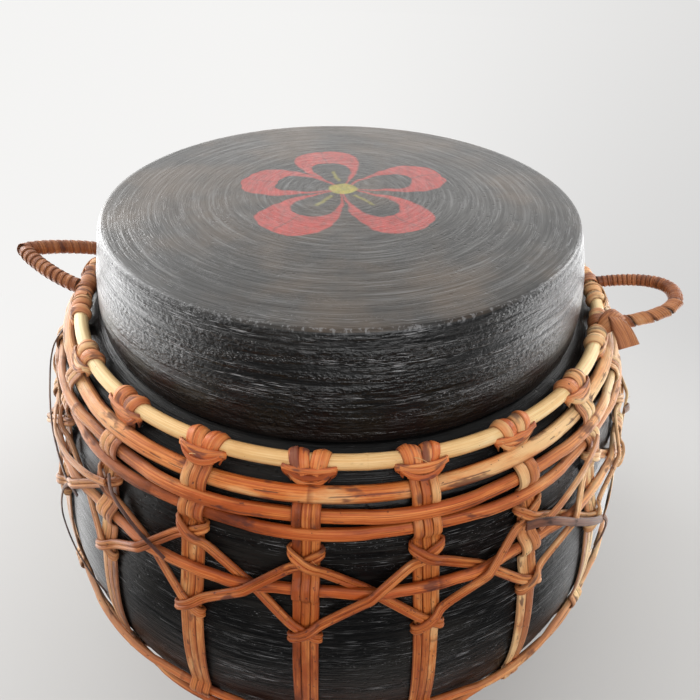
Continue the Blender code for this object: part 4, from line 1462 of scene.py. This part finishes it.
# %% The lattice canes
LATTICE_BREADTH = 5.8 * MM
CROSS_INSIDE = 1.5 * MM
CROSS_OUTSIDE = 8.6 * MM
CROSS_STEP = 3.2 * MM
KNOT_STEP = 1.4 * MM
KNOT_DROPS = {0: 3.4 * MM, 1: 2.4 * MM}
KNOT = [(-9.0, 7.0, 3.6, 0), (-3.5, 3.2, 5.0, 0), (0.5, 0.2, 5.0, 0), (4.2, -2.4, 5.0, 8),
        (7.0, -4.2, 4.4, 40), (8.3, -5.0, 3.0, 90), (7.0, -5.4, 1.4, 140), (3.5, -5.2, 1.1, 180),
        (-3.5, -5.2, 1.1, 180), (-7.0, -5.4, 1.4, 220), (-8.3, -5.0, 3.1, 270), (-7.0, -4.2, 4.9, 320),
        (-4.2, -2.2, 6.2, 352), (-0.5, 0.6, 6.9, 360), (3.5, 3.4, 6.2, 360), (9.0, 7.2, 3.9, 360)]


def lattice_strand(phase):
    """A closed zigzag round the jar, with a knot at every stake."""
    dice = np.random.default_rng(30 + phase)
    angles, alongs, offs, turns = [], [], [], []
    for k in range(STAKE_COUNT):
        high = (k + phase) % 2 == 0
        middle, flip = (LATTICE_TOP, 1) if high else (LATTICE_LOW, -1)
        middle += dice.uniform(-1.4, 1.4) * MM + (KNOT_DROPS.get(k, 0.0) if high else 0.0)
        squeeze = dice.uniform(0.85, 1.1)
        for across, down, off, turn in KNOT:
            along = middle + flip * down * squeeze * MM
            angles.append(stake_angle(k) + across * MM / wall_radius(along))
            alongs.append(along)
            offs.append(off * MM)
            turns.append(turn)
        crossing = stake_angle(k) + PITCH / 2
        for side in (-1, 0, 1):
            along = RODS["lattice_rod"][0] + flip * side * CROSS_STEP * 0.7
            angles.append(crossing + side * CROSS_STEP / wall_radius(along))
            alongs.append(along)
            offs.append(CROSS_INSIDE if high else CROSS_OUTSIDE - abs(side) * 0.6 * MM)
            turns.append(0)
    angles = np.array(angles)
    points, facing = on_jar(angles, np.array(alongs), np.array(offs))
    tone = lit_tone(angles) + 0.25 * ripple(angles / (2 * math.pi), 90 + phase, (3, 7, 13))
    facing = swung(facing, sideways(angles), np.radians(turns))
    return strand(points, facing, LATTICE_BREADTH, closed=True, tone=tone)


def make_lattice(number):
    line = [lattice_strand(number - 1)]
    return woven(f"knotted_lattice_{number}", line, SPLIT_CANE, STAKE_FINISH, 33 + number,
                 KNOT_STEP, f"lattice_cane_{number}")


lattices = [make_lattice(number) for number in (1, 2)]
print("lattice canes:", [len(piece.data.polygons) for piece in lattices], "faces")

# %% [markdown]
# ## The handles
#
# Each handle is a loop of rod that turns on the rim hoop: half of a rounded square on the right,
# and nearly a triangle on the left. The hinge is the straight line through its two eyes. Its
# middle, the way out from it and the way square to both are worked out once, and all the rest of
# a handle is given in those three directions, so it can be set at any rise.

# %% Where the handles hinge
HANDLE_START = 4.8 * MM
HANDLE_REACH = 46 * MM
HANDLES = {
    "handle_right": {"stake": 5, "shift": -0.95, "rise": 19.0, "squareness": 2.3},
    "handle_left": {"stake": -5, "shift": 0.0, "rise": 20.0, "squareness": 1.3}}
HOOP_CENTRE = on_jar(0, HOOP_ALONG, HOOP_OFF)[0]
LOOP_WIDTH = 17.5 * MM
EYE_LENGTH = 10 * MM
HOLD_MARGIN = 1.0 * MM


def handle_frame(name):
    """The middle of a handle's hinge, and its axes: along the hinge, outwards, and square to both."""
    facts = HANDLES[name]
    room = PITCH / 2 - (LOOP_WIDTH / 2 + EYE_LENGTH / 2 + 2 * HOLD_MARGIN) / HOOP_CENTRE[0]
    middle = stake_angle(facts["stake"]) + facts["shift"] * room
    rise = math.radians(facts["rise"])
    outward = np.array([math.cos(middle), math.sin(middle), 0.0])
    hinge = sideways(middle)
    reach = outward * math.cos(rise) + np.array([0, 0, math.sin(rise)])
    centre = outward * HOOP_CENTRE[0] * math.cos(PITCH / 2) + np.array([0, 0, HOOP_CENTRE[2]])
    return centre, hinge, reach, np.cross(hinge, reach)


HALF_SPAN = float(HOOP_CENTRE[0]) * math.sin(PITCH / 2)


def handle_line(name, count):
    """The loop's path from one eye to the other: half of a rounded square or a soft triangle."""
    centre, hinge, reach, _ = handle_frame(name)
    power = 2 / HANDLES[name]["squareness"]
    turn = np.linspace(0, math.pi, count)
    across = np.sign(np.cos(turn)) * np.abs(np.cos(turn)) ** power * HALF_SPAN
    out = HANDLE_START + np.abs(np.sin(turn)) ** power * (HANDLE_REACH - HANDLE_START)
    line = centre + across[:, None] * hinge + out[:, None] * reach
    lengths = lengths_along(line)
    spots = np.linspace(0, lengths[-1], count)
    return read_line(spots, lengths, line), spots


print("the handles' eyes lie", round(2 * HALF_SPAN / MM, 1), "mm apart")

# %% [markdown]
# ## The windings
#
# Flat strap is wound round each loop from one eye to the other, close and even on the left one,
# and close and then in broad slack turns on the right one. A winding is a helix round the loop's
# own path. A screw modifier can't follow a bent path, so the line of the helix is worked out here,
# and the sweeping tree lays a flat cane on it with its back to the core.

# %% Wind the handles
EYE_WINDING = 5.3 * MM
EYE_TURNS = 3.4
EYE_BREADTH = 3.8 * MM


def winding(name, first, last, radius, pitch, breadth, tilt, seed, tone):
    """A flat cane wound round a stretch of a handle, from one share of its length to another."""
    line, spots = handle_line(name, 600)
    square = handle_frame(name)[3]
    begin, end = first * spots[-1], last * spots[-1]
    turns = (end - begin) / pitch
    steps = int(turns * 16)
    share = np.linspace(0, 1, steps)
    at = np.linspace(begin, end, steps)
    place = read_line(at, spots, line)
    tangent = unit(read_line(at, spots, np.gradient(line, axis=0)))
    turn = 2 * math.pi * turns * share + 0.35 * ripple(share, seed, (2, 5, 9))
    out = swung(square, np.cross(tangent, square), turn)
    wander = 1 + 0.03 * ripple(share, seed + 1, (5, 13, 21))
    tone = tone + 0.15 * ripple(share, seed + 2, (3, 8))
    points = place + out * (radius * wander)[:, None]
    return strand(points, unit(out + tangent * tilt), breadth, tone=tone)


def eye_winding(name, side):
    """Three turns and a half of cane round the rim hoop, where the handle hangs and turns."""
    centre, hinge, reach, square = handle_frame(name)
    turn = np.linspace(0, 2 * math.pi * EYE_TURNS, 60)
    shift = side * HALF_SPAN + np.linspace(-0.5, 0.5, 60) * (EYE_LENGTH - 1 * MM)
    out = swung(reach, square, turn)
    line = centre + hinge * shift[:, None] + out * EYE_WINDING
    return strand(line, out, EYE_BREADTH, tone=0.55)


def core(name, breadth):
    """The rod inside a handle, which shows between the turns of its strap."""
    line, _ = handle_line(name, 80)
    return strand(line, np.broadcast_to(handle_frame(name)[3], line.shape), breadth)


close = winding("handle_left", 0.01, 0.99, radius=4.5 * MM, pitch=4.3 * MM, breadth=5.6 * MM,
                tilt=0.16, seed=71, tone=0.42)
narrow = winding("handle_right", 0.01, 0.62, radius=3.6 * MM, pitch=3.0 * MM, breadth=4.2 * MM,
                 tilt=0.22, seed=73, tone=0.25)
broad = winding("handle_right", 0.60, 0.99, radius=3.5 * MM, pitch=10.5 * MM, breadth=9.4 * MM,
                tilt=0.06, seed=72, tone=0.66)
print("points in the windings:", [len(one["points"]) for one in (close, narrow, broad)])

# %% [markdown]
# ## The strap's loose end
#
# By its front eye the right handle's strap has come loose: it is drawn across the eye, folded over
# the arm and left hanging. No rule would make that, so its few places are given one by one, along
# the hinge, outwards and up. Core, straps and eyes turn as one, so they are joined to one piece.

# %% The two handles
def join(pieces, name):
    """One mesh of several pieces that ride on the same body."""
    with bpy.context.temp_override(active_object=pieces[0], selected_editable_objects=pieces):
        bpy.ops.object.join()
    pieces[0].name = name
    pieces[0].data.name = name
    return pieces[0]


def tail_strand(places, facings, breadths):
    """A length of strap by the right handle's front eye, given along the hinge, outwards and up."""
    centre, hinge, reach, square = handle_frame("handle_right")
    axes = np.array([hinge, reach, -square])
    points = centre - hinge * HALF_SPAN + np.array(places) * MM @ axes
    return strand(points, np.array(facings, float) @ axes, np.array(breadths) * MM, tone=0.62)


def make_strap_tail():
    """The end of the strap: drawn across the eye, folded over the arm and left hanging."""
    bow = tail_strand([(-9, 0, 1), (-7, 3.5, 4), (-4, 7, 5.6), (0, 10.5, 6), (3, 12.5, 4.5)],
                      [(-0.6, -0.3, 1), (-0.6, -0.1, 1), (-0.5, 0, 1), (-0.3, 0.2, 1), (0, 0.6, 1)],
                      [8, 11, 13, 12.5, 9.5])
    tail = tail_strand([(-1, 8, 6.0), (-5, 9.5, 6.0), (-9.5, 11.5, 3), (-13.5, 13.5, -1),
                        (-17.5, 15, -6)],
                       [(-0.3, 0.5, 1), (-0.5, 0.4, 1), (-0.6, 0.4, 0.8), (-0.7, 0.5, 0.7),
                        (-0.7, 0.5, 0.7)],
                       [6, 8, 11, 12.5, 14])
    return swept("strap_tail", [bow, tail], THIN_STRAP, WRAP_FINISH, 52, 1.2 * MM)


def make_handle(name, straps, core_breadth, extra):
    eyes = [eye_winding(name, side) for side in (-1, 1)]
    parts = [swept(name + "_core", [core(name, core_breadth)], ROUND_ROD, OLD_FINISH, 1, 2 * MM),
             swept(name + "_straps", straps, THIN_STRAP, WRAP_FINISH, 50, 1.3 * MM),
             swept(name + "_eyes", eyes, FLAT_CANE, WRAP_FINISH, 51, 1.2 * MM)]
    return dress(join(parts + extra, "wound_" + name), name, "handle_wrap", name)


left_handle = make_handle("handle_left", [close], 8.2 * MM, [])
strap_tail = make_strap_tail()
right_handle = make_handle("handle_right", [narrow, broad], 6.6 * MM, [strap_tail])
print("handles:", [len(piece.data.polygons) for piece in (left_handle, right_handle)], "faces")

# %% [markdown]
# ## Odd canes
#
# A hand-made basket has canes that don't follow the rule: a splice that was tied in an older,
# darker cane, a strand that springs off the wall, and cane wound along the hoop beside each
# handle to keep its eye in place. Random shifts would only blur the pattern, so each of them is
# given as a few places on the jar and swept like all the rest.

# %% Canes that break the rule
ODD_STEP = 1.4 * MM
OLD_CANES = [
    (3.4, [(-4.05, 22, 5), (-3.85, 32, 8), (-3.55, 48, 9), (-3.2, 66, 8.5), (-2.85, 84, 6),
           (-2.6, 92, 3)]),
    (2.6, [(-2.7, 86, 4), (-2.8, 96, 7), (-2.72, 110, 9), (-2.52, 128, 7.5), (-2.3, 142, 5),
           (-2.1, 150, 3)]),
    (2.6, [(-1.9, 42, 8), (-1.78, 50, 10), (-1.5, 62, 9), (-1.2, 72, 8)]),
    (5.0, [(1.9, 56, 8), (2.15, 60, 9.4), (2.5, 75, 9), (2.8, 89, 9), (3.02, 99, 8.5)]),
    (3.4, [(3.02, 96, 9), (3.06, 103, 10), (3.02, 112, 9), (2.96, 124, 6)]),
    (4.4, [(3.9, 58, 8), (4.0, 60, 10), (4.1, 64, 9), (4.15, 70, 7)])]
TAN_CANES = [
    (4.6, [(-3.2, 50, 7), (-2.95, 56, 10), (-2.6, 57, 10), (-2.2, 53, 9.5), (-1.95, 50, 8)]),
    (5.2, [(2.05, 62, 8), (2.3, 55, 9), (2.6, 47, 9.4), (2.85, 41, 9), (3.0, 37, 8)])]
HOOP_WRAPS = [(-4.39, -4.23), (-4.61, -4.77), (-5.61, -5.77), (4.43, 4.57), (5.43, 5.60)]
WRAP_PITCH = 3.3 * MM
WRAP_REACH = HOOP_THICKNESS / 2 + 0.7 * MM
WRAP_BREADTH = 3.9 * MM


def odd_cane(breadth, places):
    """A cane through places given as stake number, length down the wall and distance off it."""
    stake, along, off = np.array(places, float).T
    angle = stake_angle(stake)
    points, facing = on_jar(angle, along * MM, off * MM)
    return strand(points, facing, breadth * MM, tone=lit_tone(angle[len(places) // 2]))


def hoop_wrap(first, last, seed):
    """Cane wound close along the rim hoop between two places, given in stakes."""
    turns = abs(last - first) * PITCH * HOOP_CENTRE[0] / WRAP_PITCH
    steps = math.ceil(turns * 14)
    share = np.linspace(0, 1, steps)
    angle = stake_angle(np.linspace(first, last, steps))
    centre, out = on_jar(angle, HOOP_ALONG, HOOP_OFF)
    way = swung(np.cross(sideways(angle), out), out, 2 * math.pi * turns * share)
    tone = lit_tone(angle) - 0.15 + 0.2 * ripple(share, seed, (2, 5))
    return strand(centre + way * WRAP_REACH, way, WRAP_BREADTH, tone=tone)


dark = [odd_cane(*facts) for facts in OLD_CANES]
tan = [odd_cane(*facts) for facts in TAN_CANES]
wraps = [hoop_wrap(*wrap, 63 + n) for n, wrap in enumerate(HOOP_WRAPS)]
odd_pieces = [woven("old_dark_canes", dark, FLAT_CANE, OLD_FINISH, 61, ODD_STEP),
              woven("odd_tan_canes", tan, FLAT_CANE, STAKE_FINISH, 62, ODD_STEP),
              woven("hoop_wraps", wraps, FLAT_CANE, LOOP_FINISH, 64, 1.2 * MM)]
print("odd pieces:", ", ".join(piece.name for piece in odd_pieces))

# %% [markdown]
# ## Loose fibres
#
# Where a cane is bent sharply, fine hairs split off its skin and catch the light. They are too
# many to place by hand, and hair particles would not export. One more tree scatters points on the
# canes and puts a thin, bent hair with real faces on each, turned and sized at random from a fixed
# seed.

# %% Scatter the loose fibres
FIBRE_LENGTH = 7.5 * MM


def random_value(tree, seed, low=0.0, high=1.0):
    """A random number for each point."""
    sockets = {"Min": low, "Max": high, "Seed": seed}
    made = node(tree, "FunctionNodeRandomValue", sockets, data_type="FLOAT")
    return next(socket for socket in made.outputs if socket.enabled)


def make_fibre_tree():
    tree, given, result = new_group(
        "loose_fibres", "GeometryNodeTree",
        [("Canes", "Geometry", None), ("Density", "Float", 800.0), ("Length", "Float", 6.0 * MM),
         ("Seed", "Int", 5), ("Finish", "Material", None)],
        [("Fibres", "Geometry")])
    spread = node(tree, "GeometryNodeDistributePointsOnFaces", {
        0: given["Canes"], "Density": given["Density"], "Seed": given["Seed"]})
    arc = node(tree, "GeometryNodeCurveQuadraticBezier", {
        "Resolution": 5, "Start": (0, 0, 0), "Middle": (0.1, 0, 0.5), "End": (0.55, 0.1, 0.8)})
    share = tree.nodes.new("GeometryNodeSplineParameter").outputs["Factor"]
    slim = sloped(tree, share, -0.02, 0.03)
    arc = node(tree, "GeometryNodeSetCurveRadius", {0: arc.outputs[0], "Radius": slim}).outputs[0]
    outline = node(tree, "GeometryNodeCurvePrimitiveCircle", {"Resolution": 3, "Radius": 1.0},
                   mode="RADIUS").outputs[0]
    fibre = node(tree, "GeometryNodeCurveToMesh", {
        "Curve": arc, "Profile Curve": outline, "Scale": slim, "Fill Caps": True}).outputs[0]
    spin = join_xyz(tree, z=random_value(tree, given["Seed"], 0.0, 6.28))
    way = node(tree, "FunctionNodeRotateRotation", {0: spread.outputs["Rotation"], 1: spin},
               rotation_space="LOCAL").outputs[0]
    size = sloped(tree, random_value(tree, given["Seed"]), 0.9, 0.4)
    fibres = node(tree, "GeometryNodeInstanceOnPoints", {
        "Points": spread.outputs[0], "Instance": fibre, "Rotation": way,
        "Scale": times(tree, size, given["Length"])}).outputs[0]
    end_tree(tree, fibres, given["Finish"], result)
    return tree


def scatter_fibres(name, canes, density, seed):
    host = add_object(name + "_host", canes.data.copy())
    scatter = host.modifiers.new("scatter", "NODES")
    scatter.node_group = FIBRES
    give(scatter, Density=density, Length=FIBRE_LENGTH, Seed=seed, Finish=FIBRE_FINISH)
    return plain(host, name)


FIBRES = make_fibre_tree()
FIBRE_FINISH, _, fibre_shader = blank_material("loose_fibre")
fibre_shader.inputs["Base Color"].default_value = paint(222, 172, 112)
fibre_shader.inputs["Roughness"].default_value = 0.6
fibre_pieces = [scatter_fibres("loose_fibres_loops", loops, 900.0, 5),
                scatter_fibres("loose_fibres_bindings", bindings, 900.0, 6),
                scatter_fibres("loose_fibres_knots", lattices[0], 350.0, 7)]
for piece in fibre_pieces:
    dress(piece, "jar_and_basket", "brown_rattan")
print("fibre faces:", [len(piece.data.polygons) for piece in fibre_pieces])

# %% [markdown]
# ## The floor
#
# The jar stands in a plain pale room. A white box round it would throw its own light and shadows,
# so the floor is one large disc. It takes the jar's shadow close by and melts into the backdrop
# further off, and a glossy surface sees in it a room that is bright behind and dim in front.

# %% Lay the floor
FLOOR_RADIUS = 6.0
FLOOR_DROP = 0.5 * MM


def make_pale_backdrop():
    """The backdrop's colour, with the window's light painted on: white at the left, pale grey at the
    right.
    """
    tree, given, result = new_group(
        "pale_backdrop", "ShaderNodeTree", [("Way", "Vector", None)], [("Colour", "Color")])
    right = dot_of(tree, unit_of(tree, given["Way"]), (0.9, -0.3, -0.3))
    share = between(tree, right, -0.5, 0.8)
    colour = mix(tree, share, (0.91, 0.905, 0.895, 1), (0.66, 0.655, 0.65, 1))
    tree.links.new(colour, result["Colour"])
    return tree


PALE_BACKDROP = make_pale_backdrop()


def mixed(tree, share, first, second):
    return node(tree, "ShaderNodeMixShader", {0: share, 1: first, 2: second}).outputs[0]


def mirrored_room(tree, place):
    """What glossy surfaces see in the floor: bright at the back, dim in front."""
    way = unit_of(tree, place)
    sockets = {0: dot_of(tree, way, (0, 1, 0)), 1: -0.6, 2: 0.1, 3: 0.06, 4: 4.4}
    bright = node(tree, "ShaderNodeMapRange", sockets).outputs[0]
    corner = between(tree, dot_of(tree, way, (0.6, 0.8, 0)), 0.5, 0.9)
    bright = times(tree, bright, sloped(tree, corner, -0.3, 1.0))
    return node(tree, "ShaderNodeEmission", {"Color": (1, 1, 1, 1), "Strength": bright}).outputs[0]


def floor_finish():
    """A pale floor that takes shadows close by and melts into the backdrop further off."""
    made, tree, shader = blank_material("pale_floor")
    shader.inputs["Base Color"].default_value = (0.56, 0.555, 0.55, 1)
    shader.inputs["Roughness"].default_value = 0.9
    place = node(tree, "ShaderNodeTexCoord").outputs["Object"]
    reach = length_of(tree, place)
    path = tree.nodes.new("ShaderNodeLightPath").outputs
    pale = node(tree, "ShaderNodeGroup", {0: place}, node_tree=PALE_BACKDROP).outputs[0]
    seen = node(tree, "ShaderNodeEmission", {"Color": pale, "Strength": 1.0}).outputs[0]
    away = times(tree, between(tree, reach, 0.3, 0.8), path["Is Camera Ray"])
    floor_seen = mixed(tree, away, shader.outputs[0], seen)
    glossy = higher(tree, path["Is Glossy Ray"], path["Is Transmission Ray"])
    share = times(tree, between(tree, reach, 0.24, 0.4), glossy)
    both = mixed(tree, share, floor_seen, mirrored_room(tree, place))
    tree.links.new(both, tree.nodes["Material Output"].inputs[0])
    return made


def make_floor():
    mesh = bpy.data.meshes.new("floor")
    shape = bmesh.new()
    bmesh.ops.create_circle(shape, cap_ends=True, radius=FLOOR_RADIUS, segments=64)
    shape.to_mesh(mesh)
    shape.free()
    mesh.materials.append(floor_finish())
    floor = add_object("floor", mesh)
    floor.location.z = -FLOOR_DROP
    return floor


floor = make_floor()
print("the floor lies", FLOOR_DROP / MM, "mm under the jar:", floor.name)

# %% [markdown]
# ## The light
#
# The light in the photo is soft: the room is bright behind and beside the jar, where the windows
# are, and dimmer in front, which draws the sheen across the lid and leaves the front of the clay
# dark. One strong lamp would cut hard edges, so most of the light comes from the room itself.
# Three wide lamps add the two windows and a little light in front.

# %% Light the room
LAMPS = [("left_window", (-1.5, 0.9, 1.0), (0, 0, 0.3), 1.0, 26),
         ("right_window", (1.5, 0.7, 0.9), (0, 0, 0.25), 0.8, 12),
         ("front_fill", (0.5, -1.5, 1.5), (0, 0, 0.25), 1.2, 17)]


def make_lamp(name, place, aim, size, power):
    data = bpy.data.lights.new(name, "AREA")
    data.size = size
    data.energy = power
    lamp = add_object(name, data)
    lamp.location = place
    lamp.rotation_euler = (Vector(aim) - Vector(place)).to_track_quat("-Z", "Y").to_euler()
    return lamp


def make_world():
    world = bpy.data.worlds.new("pale_room")
    world.use_nodes = True
    tree = world.node_tree
    way = node(tree, "ShaderNodeTexCoord").outputs["Generated"]
    sockets = {0: dot_of(tree, way, (-0.45, 0.85, 0.25)), 1: -0.45, 2: 0.85, 3: 0.14, 4: 1.3}
    glow = node(tree, "ShaderNodeMapRange", sockets, interpolation_type="SMOOTHSTEP").outputs[0]
    light = tree.nodes["Background"]
    light.inputs["Color"].default_value = (1.0, 0.99, 0.97, 1)
    tree.links.new(glow, light.inputs["Strength"])
    pale = node(tree, "ShaderNodeGroup", {0: way}, node_tree=PALE_BACKDROP).outputs[0]
    seen = node(tree, "ShaderNodeBackground", {"Color": pale, "Strength": 1.0}).outputs[0]
    path = tree.nodes.new("ShaderNodeLightPath").outputs
    share = calc(tree, "ADD", path["Is Camera Ray"], path["Is Transmission Ray"], clamp=True)
    both = mixed(tree, share, light.outputs[0], seen)
    tree.links.new(both, tree.nodes["World Output"].inputs[0])
    bpy.context.scene.world = world
    return world


world = make_world()
lamps = [make_lamp(*facts) for facts in LAMPS]
bpy.context.scene.view_settings.view_transform = "Standard"
print("lamps in", world.name + ":", ", ".join(lamp.name for lamp in lamps))

# %% [markdown]
# ## Clear away the outlines
#
# The outlines were only tools, so they go out of the scene.

# %% Clear away the outlines
for outline in OUTLINES:
    bpy.data.objects.remove(outline, do_unlink=True)
